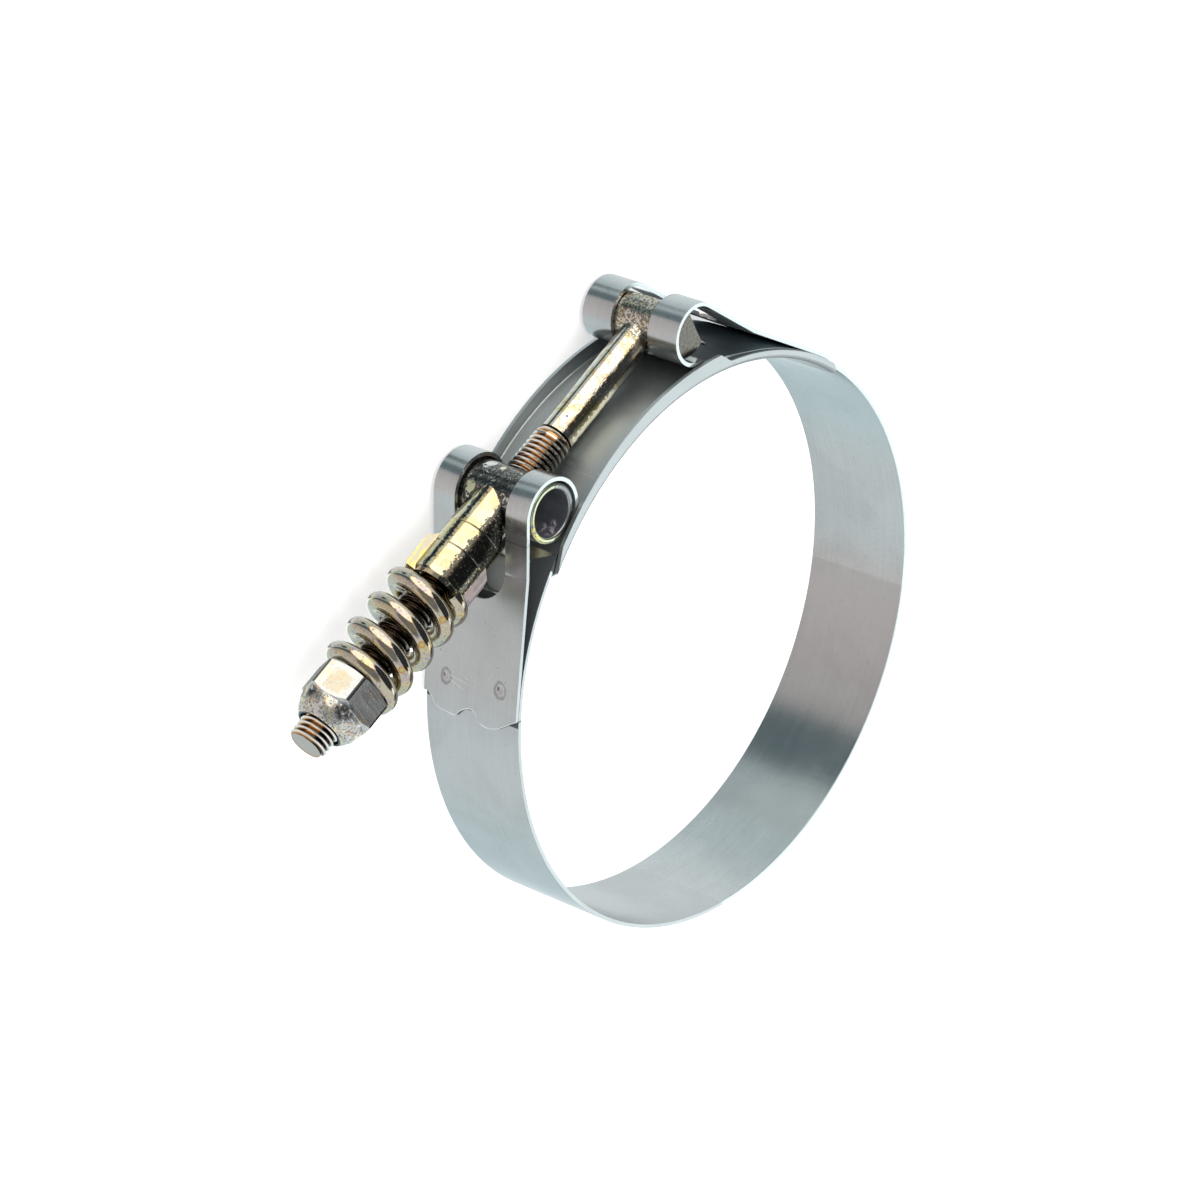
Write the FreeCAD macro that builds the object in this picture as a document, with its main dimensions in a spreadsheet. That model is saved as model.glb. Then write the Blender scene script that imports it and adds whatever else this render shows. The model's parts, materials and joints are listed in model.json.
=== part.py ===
import FreeCAD, Part
import math
import os
import Sketcher

# T-bolt clamp: a folded steel band with a loop at each end, a channel liner inside it that
# bridges the gap, a T-headed bolt across the loops, and a spring under the lock nut.
# Frame: ring axis along Z, origin at the ring's centre half way across the band, Y toward the
# bolt, X along the bolt from the nut to the T-head. All lengths in millimetres.

os.makedirs("parts", exist_ok=True)
doc = FreeCAD.newDocument("TBoltClamp")
sheet = doc.addObject("Spreadsheet::Sheet", "Sizes")
Vector = FreeCAD.Vector


def size(alias, value, note):
    """Writes one driving size into the sheet and hands its value back."""
    row = size.row
    sheet.set("A%d" % row, note)
    sheet.set("B%d" % row, str(value))
    sheet.setAlias("B%d" % row, alias)
    size.row = row + 1
    return value


size.row = 1

# Band
band_outer_radius = size("band_outer_radius", 47.915, "radius over the band")
band_thickness = size("band_thickness", 0.635, "band stock")
band_width = size("band_width", 19.05, "band width")
seam_gap = size("seam_gap", 0.05, "gap under the strap ends")
leg_bend_radius = size("leg_bend_radius", 5.0, "bend in each leg, mid stock")
nut_strap_end = size("nut_strap_end", 150.6, "angle where the nut strap is sheared")
head_strap_end = size("head_strap_end", 27.1, "angle where the head strap ends")
nut_leg_upper_turn = size("nut_leg_upper_turn", 4.0, "upper run of the nut leg off the tangent")
nut_leg_lower_turn = size("nut_leg_lower_turn", 1.8, "lower run of the nut leg off the tangent")
head_leg_upper_turn = size("head_leg_upper_turn", 3.5, "upper run of the head leg off the tangent")
head_leg_lower_turn = size("head_leg_lower_turn", 2.6, "lower run of the head leg off the tangent")
nut_slot_clear = size("nut_slot_clear", 0.6, "slot beside the sleeve")
nut_slot_reach = size("nut_slot_reach", 9.3, "slot end centre down the nut leg")
head_slot_clear = size("head_slot_clear", 0.55, "slot beside the bolt's thread")
head_slot_reach = size("head_slot_reach", 9.7, "slot end centre down the head leg")
slot_floor_angle = size("slot_floor_angle", 50.0, "slot end below the bolt on the gap side")
weld_radius = size("weld_radius", 1.0, "spot weld nugget")
weld_dimple = size("weld_dimple", 0.16, "depth of a weld mark")

# Liner
liner_thickness = size("liner_thickness", 0.635, "liner stock")
liner_gap = size("liner_gap", 0.285, "liner under the band, clear of the thread")
liner_side_gap = size("liner_side_gap", 0.2, "flange beside the band")
liner_bend_radius = size("liner_bend_radius", 0.3, "inner bend of the channel")
liner_start = size("liner_start", 24.9, "angle of the liner's head end")
liner_end = size("liner_end", 134.5, "angle of the liner's tail end")
lip_height = size("lip_height", 0.85, "low flange over the liner's floor")
flange_height = size("flange_height", 2.5, "tall flange over the floor, head end")
flange_fall = size("flange_fall", 1.15, "drop of the tall flange to its nut end")
tongue_width = size("tongue_width", 14.0, "tail tongue")

# Bolt line: the trunnion rests on the band, and the bolt crosses its centre
trunnion_offset = size("trunnion_offset", 16.9, "trunnion from the ring's centre plane")
trunnion_radius = size("trunnion_radius", 4.85, "trunnion tube, outside")
trunnion_bore = size("trunnion_bore", 3.78, "trunnion tube, inside")
trunnion_inset = size("trunnion_inset", 0.225, "trunnion end inside the band's edge")
rest_gap = size("rest_gap", 0.03, "trunnion over the band it rests on")
nut_loop_clear = size("nut_loop_clear", 0.27, "nut loop over the trunnion")
head_offset = size("head_offset", 21.4, "head loop from the ring's centre plane")
head_loop_clear = size("head_loop_clear", 0.2, "head loop over the T-head")

# T-bolt
head_radius = size("head_radius", 4.3, "round side of the T-head")
head_inset = size("head_inset", 1.825, "end of the T-head inside the band's edge")
head_flat = size("head_flat", 2.0, "flat back of the head from its centre")
head_seat_gap = size("head_seat_gap", 0.03, "head against its loop")
shank_radius = size("shank_radius", 2.85, "plain shank, the rolling blank")
thread_radius = size("thread_radius", 3.175, "over the thread")
thread_length = size("thread_length", 63.3, "threaded length")
bolt_end = size("bolt_end", 67.7, "bolt end from the ring's centre plane")
bolt_chamfer = size("bolt_chamfer", 0.45, "chamfer of the bolt end")
bolt_fit = size("bolt_fit", 0.085, "bores over the thread, radial")

# Sleeve, spring and nut along the bolt
sleeve_radius = size("sleeve_radius", 4.6, "sleeve body")
sleeve_line = size("sleeve_line", 25.65, "turned line round the sleeve")
second_line = size("second_line", 29.9, "second turned line")
sleeve_end = size("sleeve_end", 35.8, "spring end of the sleeve")
sleeve_chamfer = size("sleeve_chamfer", 0.95, "length of the chamfer at the spring")
lug_radius = size("lug_radius", 5.65, "reach of the two side lugs")
lug_thickness = size("lug_thickness", 3.4, "lug across its face")
lug_start = size("lug_start", 28.7, "where the lugs rise")
lug_turn = size("lug_turn", 127.0, "angle of the first lug about the bolt")
spring_length = size("spring_length", 19.7, "fitted length between ground ends")
spring_radius = size("spring_radius", 5.15, "mean radius of the coil")
wire_radius = size("wire_radius", 1.55, "spring wire")
spring_active = size("spring_active", 3.0, "open turns")
spring_closed = size("spring_closed", 0.66, "closed turns at each end")
closed_pitch = size("closed_pitch", 2.3, "pitch of a closed turn")
open_pitch = size("open_pitch", 5.11, "pitch of an open turn")
spring_phase = size("spring_phase", 72.0, "angle of the wire's first end about the bolt")
seat_gap = size("seat_gap", 0.02, "ground ends on their seats")
nut_flats = size("nut_flats", 11.05, "across flats")
nut_turn = size("nut_turn", 47.0, "angle of a corner about the bolt")
nut_hex_height = size("nut_hex_height", 5.4, "height of the hexagon")
nut_height = size("nut_height", 8.8, "whole nut")
nut_collar_radius = size("nut_collar_radius", 5.0, "waist of the tapered collar")
nut_insert_depth = size("nut_insert_depth", 2.2, "pocket of the insert")
nut_insert_radius = size("nut_insert_radius", 3.95, "outside of the insert")
nut_lip = size("nut_lip", 0.6, "crimped lip over the insert")
nut_mouth_radius = size("nut_mouth_radius", 3.5, "hole in the crimped lip")
doc.recompute()


# Worked-out positions
def at_angle(radius, degrees):
    """A point in the XY plane at a radius and angle about the ring's centre."""
    turn = math.radians(degrees)
    return Vector(radius * math.cos(turn), radius * math.sin(turn), 0)


def meet(first_turn, first_reach, second_turn, second_reach):
    """Where two lines meet, each given by the angle of its normal and its distance."""
    a = math.radians(first_turn)
    b = math.radians(second_turn)
    spread = math.sin(b - a)
    x = (first_reach * math.sin(b) - second_reach * math.sin(a)) / spread
    y = (second_reach * math.cos(a) - first_reach * math.cos(b)) / spread
    return Vector(x, y, 0)


half_stock = band_thickness / 2
half_width = band_width / 2
ring_mid = band_outer_radius - half_stock
strap_mid = band_outer_radius + seam_gap + half_stock
trunnion_length = band_width - 2 * trunnion_inset
head_length = band_width - 2 * head_inset
nut_loop_radius = trunnion_radius + nut_loop_clear
head_loop_radius = head_radius + head_loop_clear
nut_loop_mid = nut_loop_radius + half_stock
head_loop_mid = head_loop_radius + half_stock
trunnion_distance = band_outer_radius + trunnion_radius + rest_gap
bolt_line = math.sqrt(trunnion_distance ** 2 - trunnion_offset ** 2)
trunnion_centre = Vector(-trunnion_offset, bolt_line, 0)
nut_loop_angle = math.degrees(math.atan2(bolt_line, -trunnion_offset))
nut_loop = at_angle(ring_mid + nut_loop_mid, nut_loop_angle)
head_loop = Vector(head_offset, bolt_line, 0)
head_loop_angle = math.degrees(math.atan2(head_loop.y, head_loop.x))


def outer_tangent(centre, loop_radius):
    """Angle between a loop's centre and the normal of the tangent it shares with the strap."""
    return math.degrees(math.acos((strap_mid - loop_radius) / centre.Length))


nut_tangent = nut_loop_angle + outer_tangent(nut_loop, nut_loop_mid)
head_tangent = head_loop_angle - outer_tangent(head_loop, head_loop_mid)
nut_upper = nut_tangent + nut_leg_upper_turn
nut_lower = nut_tangent - nut_leg_lower_turn
head_upper = head_tangent - head_leg_upper_turn
head_lower = head_tangent + head_leg_lower_turn
inner_reach = math.acos((ring_mid + head_loop_mid) / head_loop.Length)
inner_angle = head_loop_angle - math.degrees(inner_reach)


def leg_bend(centre, loop_radius, upper, lower):
    """Centre of the bend where the two runs of an outer leg meet."""
    reach = centre.dot(at_angle(1, upper)) + loop_radius + leg_bend_radius
    return meet(upper, reach, lower, strap_mid + leg_bend_radius)


nut_bend = leg_bend(nut_loop, nut_loop_mid, nut_upper, nut_lower)
head_bend = leg_bend(head_loop, head_loop_mid, head_upper, head_lower)

pieces = {}


def new_body(name):
    """A body for one piece."""
    return doc.addObject("PartDesign::Body", name)


def plane_of(body, role):
    """One of the body's own origin planes."""
    found = [f for f in body.Origin.OriginFeatures if f.Role == role]
    return found[0]


def new_sketch(body, name, role, base=Vector(0, 0, 0), turn=0.0, about=Vector(0, 1, 0)):
    """A sketch on an origin plane, moved by base and turned about the plane's own Y line."""
    sketch = body.newObject("Sketcher::SketchObject", name)
    sketch.AttachmentSupport = (plane_of(body, role), [""])
    sketch.MapMode = "FlatFace"
    sketch.AttachmentOffset = FreeCAD.Placement(base, FreeCAD.Rotation(about, turn))
    return sketch


def on_normal(degrees, radius):
    """Offset in the YZ plane's own lines for a sketch that faces out along an angle."""
    point = at_angle(radius, degrees)
    return Vector(point.y, 0, point.x)


def add_line(sketch, start, end):
    return sketch.addGeometry(Part.LineSegment(start, end), False)


def add_arc(sketch, centre, radius, start, end):
    circle = Part.Circle(centre, Vector(0, 0, 1), radius)
    arc = Part.ArcOfCircle(circle, math.radians(start), math.radians(end))
    return sketch.addGeometry(arc, False)


def add_outline(sketch, points):
    """A closed outline of straight lines through the points, joined end to end."""
    count = len(points)
    for i in range(count):
        add_line(sketch, points[i], points[(i + 1) % count])
    first = sketch.GeometryCount - count
    for i in range(count):
        following = first + (i + 1) % count
        sketch.addConstraint(Sketcher.Constraint("Coincident", first + i, 2, following, 1))


def bind(sketch, name, expression, *constraint):
    """A named driving constraint of a sketch, bound to the sheet."""
    index = sketch.addConstraint(Sketcher.Constraint(*constraint))
    sketch.renameConstraint(index, name)
    sketch.setExpression("Constraints." + name, expression)


def cut(body, name, sketch, length=None, both_sides=False, outward=False):
    """A pocket that has to remove something from the body."""
    doc.recompute()
    before = body.Shape.Volume
    pocket = body.newObject("PartDesign::Pocket", name)
    pocket.Profile = sketch
    if both_sides:
        pocket.SideType = "Symmetric"
    if length is None:
        pocket.Type = "ThroughAll"
    else:
        pocket.Type = "Length"
        if isinstance(length, str):
            pocket.setExpression("Length", length)
        else:
            pocket.Length = length
    pocket.Reversed = outward
    sketch.Visibility = False
    doc.recompute()
    if before - body.Shape.Volume < 1e-3:
        raise RuntimeError(name + " cuts nothing")
    return pocket


# Band: one strip folded into ring, loops, legs and strap ends
band_strip = new_body("band_strip")
path = new_sketch(band_strip, "band_path", "XY_Plane")
centre = Vector(0, 0, 0)
head_run = at_angle(strap_mid, head_lower)
head_bend_low = head_bend - at_angle(leg_bend_radius, head_lower)
head_bend_high = head_bend - at_angle(leg_bend_radius, head_upper)
head_loop_out = head_loop + at_angle(head_loop_mid, head_upper)
head_loop_under = head_loop - at_angle(head_loop_mid, inner_angle)
ring_head = at_angle(ring_mid, inner_angle)
nut_loop_out = nut_loop + at_angle(nut_loop_mid, nut_upper)
nut_bend_high = nut_bend - at_angle(leg_bend_radius, nut_upper)
nut_bend_low = nut_bend - at_angle(leg_bend_radius, nut_lower)
nut_run = at_angle(strap_mid, nut_lower)

head_strap_arc = add_arc(path, centre, strap_mid, head_strap_end, head_lower)
head_lower_line = add_line(path, head_run, head_bend_low)
head_bend_arc = add_arc(path, head_bend, leg_bend_radius, head_upper + 180, head_lower + 180)
head_upper_line = add_line(path, head_bend_high, head_loop_out)
head_loop_arc = add_arc(path, head_loop, head_loop_mid, head_upper, inner_angle + 180)
inner_line = add_line(path, head_loop_under, ring_head)
ring_arc = add_arc(path, centre, ring_mid, nut_loop_angle, inner_angle + 360)
nut_loop_arc = add_arc(path, nut_loop, nut_loop_mid, nut_loop_angle + 180, nut_upper + 360)
nut_upper_line = add_line(path, nut_loop_out, nut_bend_high)
nut_bend_arc = add_arc(path, nut_bend, leg_bend_radius, nut_lower + 180, nut_upper + 180)
nut_lower_line = add_line(path, nut_bend_low, nut_run)
nut_strap_arc = add_arc(path, centre, strap_mid, nut_lower, nut_strap_end)


def smooth(first, first_end, second, second_end):
    tangent = Sketcher.Constraint("Tangent", first, first_end, second, second_end)
    path.addConstraint(tangent)


smooth(head_strap_arc, 2, head_lower_line, 1)
smooth(head_lower_line, 2, head_bend_arc, 2)
smooth(head_bend_arc, 1, head_upper_line, 1)
smooth(head_upper_line, 2, head_loop_arc, 1)
smooth(head_loop_arc, 2, inner_line, 1)
smooth(inner_line, 2, ring_arc, 2)
smooth(ring_arc, 1, nut_loop_arc, 1)
smooth(nut_loop_arc, 2, nut_upper_line, 1)
smooth(nut_upper_line, 2, nut_bend_arc, 2)
smooth(nut_bend_arc, 1, nut_lower_line, 1)
smooth(nut_lower_line, 2, nut_strap_arc, 1)
for arc in (head_strap_arc, ring_arc, nut_strap_arc):
    path.addConstraint(Sketcher.Constraint("Coincident", arc, 3, -1, 1))
ring_mid_rule = "Sizes.band_outer_radius - Sizes.band_thickness / 2"
strap_mid_rule = "Sizes.band_outer_radius + Sizes.seam_gap + Sizes.band_thickness / 2"
nut_loop_rule = "Sizes.trunnion_radius + Sizes.nut_loop_clear + Sizes.band_thickness / 2"
trunnion_reach = "(Sizes.band_outer_radius + Sizes.trunnion_radius + Sizes.rest_gap)"
loop_reach = "(Sizes.band_outer_radius + Sizes.trunnion_radius + Sizes.nut_loop_clear)"
loop_offset_rule = "Sizes.trunnion_offset * " + loop_reach + " / " + trunnion_reach
bolt_line_rule = "sqrt(" + trunnion_reach + " ^ 2 - Sizes.trunnion_offset ^ 2)"
head_loop_rule = "Sizes.head_radius + Sizes.head_loop_clear + Sizes.band_thickness / 2"
bind(path, "ring_mid", ring_mid_rule, "Radius", ring_arc, ring_mid)
bind(path, "strap_mid", strap_mid_rule, "Radius", nut_strap_arc, strap_mid)
bind(path, "head_strap_mid", strap_mid_rule, "Radius", head_strap_arc, strap_mid)
bind(path, "nut_loop_mid", nut_loop_rule, "Radius", nut_loop_arc, nut_loop_mid)
bind(path, "head_loop_mid", head_loop_rule, "Radius", head_loop_arc, head_loop_mid)
bind(path, "nut_bend", "Sizes.leg_bend_radius", "Radius", nut_bend_arc, leg_bend_radius)
bind(path, "head_bend", "Sizes.leg_bend_radius", "Radius", head_bend_arc, leg_bend_radius)
bind(path, "head_offset", "Sizes.head_offset", "DistanceX", -1, 1, head_loop_arc, 3, head_offset)
bind(path, "nut_loop_offset", loop_offset_rule, "DistanceX", nut_loop_arc, 3, -1, 1, -nut_loop.x)
bind(path, "head_height", bolt_line_rule, "DistanceY", -1, 1, head_loop_arc, 3, bolt_line)
doc.recompute()

section = new_sketch(band_strip, "band_section", "XZ_Plane", turn=head_strap_end)
inner_face = strap_mid - half_stock
outer_face = strap_mid + half_stock
add_outline(section, [Vector(inner_face, -half_width, 0), Vector(outer_face, -half_width, 0),
                      Vector(outer_face, half_width, 0), Vector(inner_face, half_width, 0)])
for side in (0, 2):
    section.addConstraint(Sketcher.Constraint("Horizontal", side))
section.addConstraint(Sketcher.Constraint("Vertical", 3))
bind(section, "thickness", "Sizes.band_thickness", "DistanceX", 0, 1, 0, 2, band_thickness)
bind(section, "width", "Sizes.band_width", "DistanceY", 1, 1, 1, 2, band_width)
section.addConstraint(Sketcher.Constraint("Symmetric", 1, 1, 1, 2, -1))
bind(section, "inner", "Sizes.band_outer_radius + Sizes.seam_gap",
     "DistanceX", -1, 1, 0, 1, inner_face)
doc.recompute()
strip = band_strip.newObject("PartDesign::AdditivePipe", "folded_strip")
strip.Profile = section
strip.Spine = (path, [])
strip.Mode = "Standard"
path.Visibility = False
section.Visibility = False
doc.recompute()


def cut_loop_slot(name, loop, loop_radius, upper, reach, half, half_rule, floor, gap_side):
    """Slot from the round end in the outer leg, over the loop and down its gap side."""
    outside = loop_radius + half_stock + 1.2
    offset = on_normal(upper, loop.dot(at_angle(1, upper)))
    along = loop.dot(at_angle(1, upper + 90))
    shift = at_angle(along, upper + 90)
    base = offset + Vector(shift.y, 0, shift.x)
    leg = new_sketch(band_strip, name + "_leg", "YZ_Plane", base, upper)
    over = -gap_side * outside
    add_line(leg, Vector(over, -half, 0), Vector(gap_side * reach, -half, 0))
    add_line(leg, Vector(gap_side * reach, half, 0), Vector(over, half, 0))
    add_line(leg, Vector(over, half, 0), Vector(over, -half, 0))
    if gap_side > 0:
        add_arc(leg, Vector(reach, 0, 0), half, -90, 90)
        order = ((0, 2, 3, 1), (3, 2, 1, 1), (1, 2, 2, 1), (2, 2, 0, 1))
    else:
        add_arc(leg, Vector(-reach, 0, 0), half, 90, 270)
        order = ((0, 2, 3, 2), (3, 1, 1, 1), (1, 2, 2, 1), (2, 2, 0, 1))
    for first, first_end, second, second_end in order:
        kind = "Tangent" if 3 in (first, second) else "Coincident"
        leg.addConstraint(Sketcher.Constraint(kind, first, first_end, second, second_end))
    leg.addConstraint(Sketcher.Constraint("PointOnObject", 3, 3, -1))
    bind(leg, "half_width", half_rule, "Radius", 3, half)
    reach_ends = (-1, 1, 3, 3) if gap_side > 0 else (3, 3, -1, 1)
    bind(leg, "reach", "Sizes.%s_reach" % name, "DistanceX", *reach_ends, reach)
    cut(band_strip, name + "_over_leg", leg, outside, outward=True)
    wedge = new_sketch(band_strip, name + "_wedge", "XY_Plane")
    far = outside / math.cos(math.radians(30))
    start = upper - 80 if gap_side > 0 else upper + 80
    points = [loop]
    for i in range(4):
        points.append(loop + at_angle(far, start + (floor - start) * i / 3))
    add_outline(wedge, points)
    pocket = cut(band_strip, name + "_over_loop", wedge, 2 * half, both_sides=True)
    pocket.setExpression("Length", "2 * (" + half_rule + ")")
    doc.recompute()


cut_loop_slot("nut_slot", nut_loop, nut_loop_mid, nut_upper, nut_slot_reach,
              sleeve_radius + nut_slot_clear, "Sizes.sleeve_radius + Sizes.nut_slot_clear",
              -slot_floor_angle, 1)
cut_loop_slot("head_slot", head_loop, head_loop_mid, head_upper, head_slot_reach,
              thread_radius + head_slot_clear, "Sizes.thread_radius + Sizes.head_slot_clear",
              180 + slot_floor_angle - 4, -1)

# Spot welds join the nut strap to the ring; each leaves a shallow mark outside
weld_spots = {"upper_weld": (142.3, -5.16), "lower_weld": (141.2, 5.93)}
for name, (turn, height) in weld_spots.items():
    spot = new_sketch(band_strip, name, "YZ_Plane", on_normal(turn, ring_mid), turn)
    spot.addGeometry(Part.Circle(Vector(0, height, 0), Vector(0, 0, 1), weld_radius), False)
    bind(spot, "radius", "Sizes.weld_radius", "Radius", 0, weld_radius)
    nugget = band_strip.newObject("PartDesign::Pad", name + "_nugget")
    nugget.Profile = spot
    nugget.setExpression("Length", "Sizes.band_thickness + Sizes.seam_gap")
    spot.Visibility = False
    doc.recompute()

# The nut strap's end is sheared in a wave: angle round the ring and height of its points
wave = [(146.8, -8.27), (148.2, -7.4), (149.0, -6.14), (149.2, -4.46), (149.2, -2.99),
        (148.5, -2.36), (147.4, -1.12), (146.9, 0.12), (147.4, 1.17), (149.0, 2.23),
        (149.3, 3.88), (148.8, 5.54), (147.6, 7.38), (146.1, 9.5)]
wave_turn = 148.0
wave_start = (146.6, -half_width - 0.5)
wave_finish = (145.8, half_width + 0.5)
strap_outer = strap_mid + half_stock


def wave_point(turn, height):
    return Vector(strap_outer * math.sin(math.radians(turn - wave_turn)), height, 0)


wave_points = [wave_point(*p) for p in [wave_start] + wave + [wave_finish]]
wave_line = Part.BSplineCurve()
wave_line.interpolate(wave_points)
shear = doc.addObject("Sketcher::SketchObject", "wave_shear")
face_out = FreeCAD.Rotation(Vector(0, 0, 1), wave_turn)
face_out = face_out.multiply(FreeCAD.Rotation(Vector(1, 1, 1), 120))
shear.Placement = FreeCAD.Placement(Vector(0, 0, 0), face_out)
shear.addGeometry(wave_line, False)
far_side = wave_point(nut_strap_end, 0).x + 1
corner_low = Vector(far_side, wave_points[0].y, 0)
corner_high = Vector(far_side, wave_points[-1].y, 0)
add_line(shear, wave_points[0], corner_low)
add_line(shear, corner_low, corner_high)
add_line(shear, corner_high, wave_points[-1])
doc.recompute()
waste = doc.addObject("Part::Extrusion", "wave_waste")
waste.Base = shear
waste.DirMode = "Normal"
waste.setExpression("LengthFwd", "Sizes.band_outer_radius + 3")
waste.Solid = True
under_seam = doc.addObject("Part::Cylinder", "under_seam")
under_seam.setExpression("Radius", "Sizes.band_outer_radius + Sizes.seam_gap / 2")
under_seam.setExpression("Height", "Sizes.band_width + 4")
under_seam.setExpression(".Placement.Base.z", "-Sizes.band_width / 2 - 2")
strap_waste = doc.addObject("Part::Cut", "strap_waste")
strap_waste.Base = waste
strap_waste.Tool = under_seam
sheared = doc.addObject("Part::Cut", "sheared_band")
sheared.Base = band_strip
sheared.Tool = strap_waste
doc.recompute()

mark_radius = (weld_radius ** 2 + weld_dimple ** 2) / (2 * weld_dimple) * 1.6
marks = []
for name, (turn, height) in weld_spots.items():
    mark = doc.addObject("Part::Sphere", name + "_mark")
    mark.Radius = mark_radius
    centre_out = at_angle(strap_outer + mark_radius - weld_dimple, turn)
    mark.Placement.Base = Vector(centre_out.x, centre_out.y, height)
    marks.append(mark)
mark_pair = doc.addObject("Part::MultiFuse", "weld_marks")
mark_pair.Shapes = marks
band = doc.addObject("Part::Cut", "band")
band.Base = sheared
band.Tool = mark_pair
band.Label = "band"
doc.recompute()
pieces["band"] = band

# Liner: a channel turned about the ring's axis, open outward, its flanges beside the band
liner = new_body("liner")
liner_outer = band_outer_radius - band_thickness - liner_gap
liner_inner = liner_outer - liner_thickness
flange_inside = half_width + liner_side_gap
flange_outside = flange_inside + liner_thickness
flange_top = liner_outer + flange_height
bend_centre_r = liner_outer + liner_bend_radius
bend_centre_z = flange_inside - liner_bend_radius
bend_outer = liner_bend_radius + liner_thickness
channel = new_sketch(liner, "channel", "XZ_Plane", turn=liner_start)
add_line(channel, Vector(liner_outer, -bend_centre_z, 0), Vector(liner_outer, bend_centre_z, 0))
add_arc(channel, Vector(bend_centre_r, bend_centre_z, 0), liner_bend_radius, 90, 180)
add_line(channel, Vector(bend_centre_r, flange_inside, 0), Vector(flange_top, flange_inside, 0))
add_line(channel, Vector(flange_top, flange_inside, 0), Vector(flange_top, flange_outside, 0))
add_line(channel, Vector(flange_top, flange_outside, 0), Vector(bend_centre_r, flange_outside, 0))
add_arc(channel, Vector(bend_centre_r, bend_centre_z, 0), bend_outer, 90, 180)
add_line(channel, Vector(liner_inner, bend_centre_z, 0), Vector(liner_inner, -bend_centre_z, 0))
add_arc(channel, Vector(bend_centre_r, -bend_centre_z, 0), bend_outer, 180, 270)
add_line(channel, Vector(bend_centre_r, -flange_outside, 0), Vector(flange_top, -flange_outside, 0))
add_line(channel, Vector(flange_top, -flange_outside, 0), Vector(flange_top, -flange_inside, 0))
add_line(channel, Vector(flange_top, -flange_inside, 0), Vector(bend_centre_r, -flange_inside, 0))
add_arc(channel, Vector(bend_centre_r, -bend_centre_z, 0), liner_bend_radius, 180, 270)
for edge in range(2, 10):
    channel.addConstraint(Sketcher.Constraint("Coincident", edge, 2, edge + 1, 1))
channel.addConstraint(Sketcher.Constraint("Coincident", 0, 2, 1, 2))
channel.addConstraint(Sketcher.Constraint("Coincident", 1, 1, 2, 1))
channel.addConstraint(Sketcher.Constraint("Coincident", 10, 2, 11, 2))
channel.addConstraint(Sketcher.Constraint("Coincident", 11, 1, 0, 1))
for upright in (0, 3, 6, 9):
    channel.addConstraint(Sketcher.Constraint("Vertical", upright))
bind(channel, "outer", "Sizes.band_outer_radius - Sizes.band_thickness - Sizes.liner_gap",
     "DistanceX", -1, 1, 0, 1, liner_outer)
bind(channel, "bend", "Sizes.liner_bend_radius", "Radius", 1, liner_bend_radius)
bind(channel, "outer_bend", "Sizes.liner_bend_radius + Sizes.liner_thickness",
     "Radius", 5, bend_outer)
doc.recompute()
turned = liner.newObject("PartDesign::Revolution", "channel_ring")
turned.Profile = channel
turned.ReferenceAxis = (channel, ["V_Axis"])
turned.setExpression("Angle", "Sizes.liner_end - Sizes.liner_start")
channel.Visibility = False
doc.recompute()

# Side outline of the flanges: low lip, slope, tall flange falling to the nut end, bare tail
lip_top = liner_outer + lip_height
tall_low = flange_top - flange_fall
floor_top = liner_outer + 0.01
clear = flange_top + 3
lip_start = liner_start + 1.6
slope_start = 59.2
slope_end = 62.0
tall_middle = 88.0
tall_end = 112.6
tail_slope = 4.8
tail_start = tall_end + tail_slope
waste_start = liner_start - 1.5
waste_end = liner_end + 1.5
tall_middle_top = (flange_top + tall_low) / 2 + 0.12
side = new_sketch(liner, "flange_side", "XY_Plane")
add_arc(side, centre, floor_top, tail_start, waste_end)
add_line(side, at_angle(floor_top, waste_end), at_angle(clear, waste_end))
add_arc(side, centre, clear, waste_start, waste_end)
add_line(side, at_angle(clear, waste_start), at_angle(floor_top, waste_start))
add_line(side, at_angle(floor_top, waste_start), at_angle(floor_top, liner_start + 0.2))
add_line(side, at_angle(floor_top, liner_start + 0.2), at_angle(lip_top, lip_start))
add_arc(side, centre, lip_top, lip_start, slope_start)
add_line(side, at_angle(lip_top, slope_start), at_angle(flange_top, slope_end))
rise = Part.Arc(at_angle(flange_top, slope_end), at_angle(tall_middle_top, tall_middle),
                at_angle(tall_low, tall_end))
side.addGeometry(rise, False)
add_line(side, at_angle(tall_low, tall_end), at_angle(floor_top, tail_start))
cut(liner, "flange_trim", side, flange_outside * 2 + 4, both_sides=True)

# Tail tongue: the channel's corners are cut at an angle and the tail runs out narrow
tail_turn = (tail_start + liner_end) / 2
tail_near = liner_outer * math.sin(math.radians(tail_start - tail_turn))
taper_end = tail_near + 2.3
tail_far = liner_outer * math.sin(math.radians(liner_end + 2 - tail_turn))
half_tongue = tongue_width / 2
corner_plan = new_sketch(liner, "tail_corners", "YZ_Plane",
                         on_normal(tail_turn, liner_inner * 0.95), tail_turn)
for side_sign in (1, -1):
    wide = side_sign * (flange_outside + 1)
    corner_start = side_sign * (flange_outside - 0.35)
    narrow = side_sign * half_tongue
    add_outline(corner_plan, [Vector(tail_near, wide, 0), Vector(tail_near, corner_start, 0),
                              Vector(taper_end, narrow, 0), Vector(tail_far, narrow, 0),
                              Vector(tail_far, wide, 0)])
cut(liner, "tail_trim", corner_plan, flange_top - liner_inner * 0.95 + 2, outward=True)
liner.Label = "liner"
pieces["liner"] = liner

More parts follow.
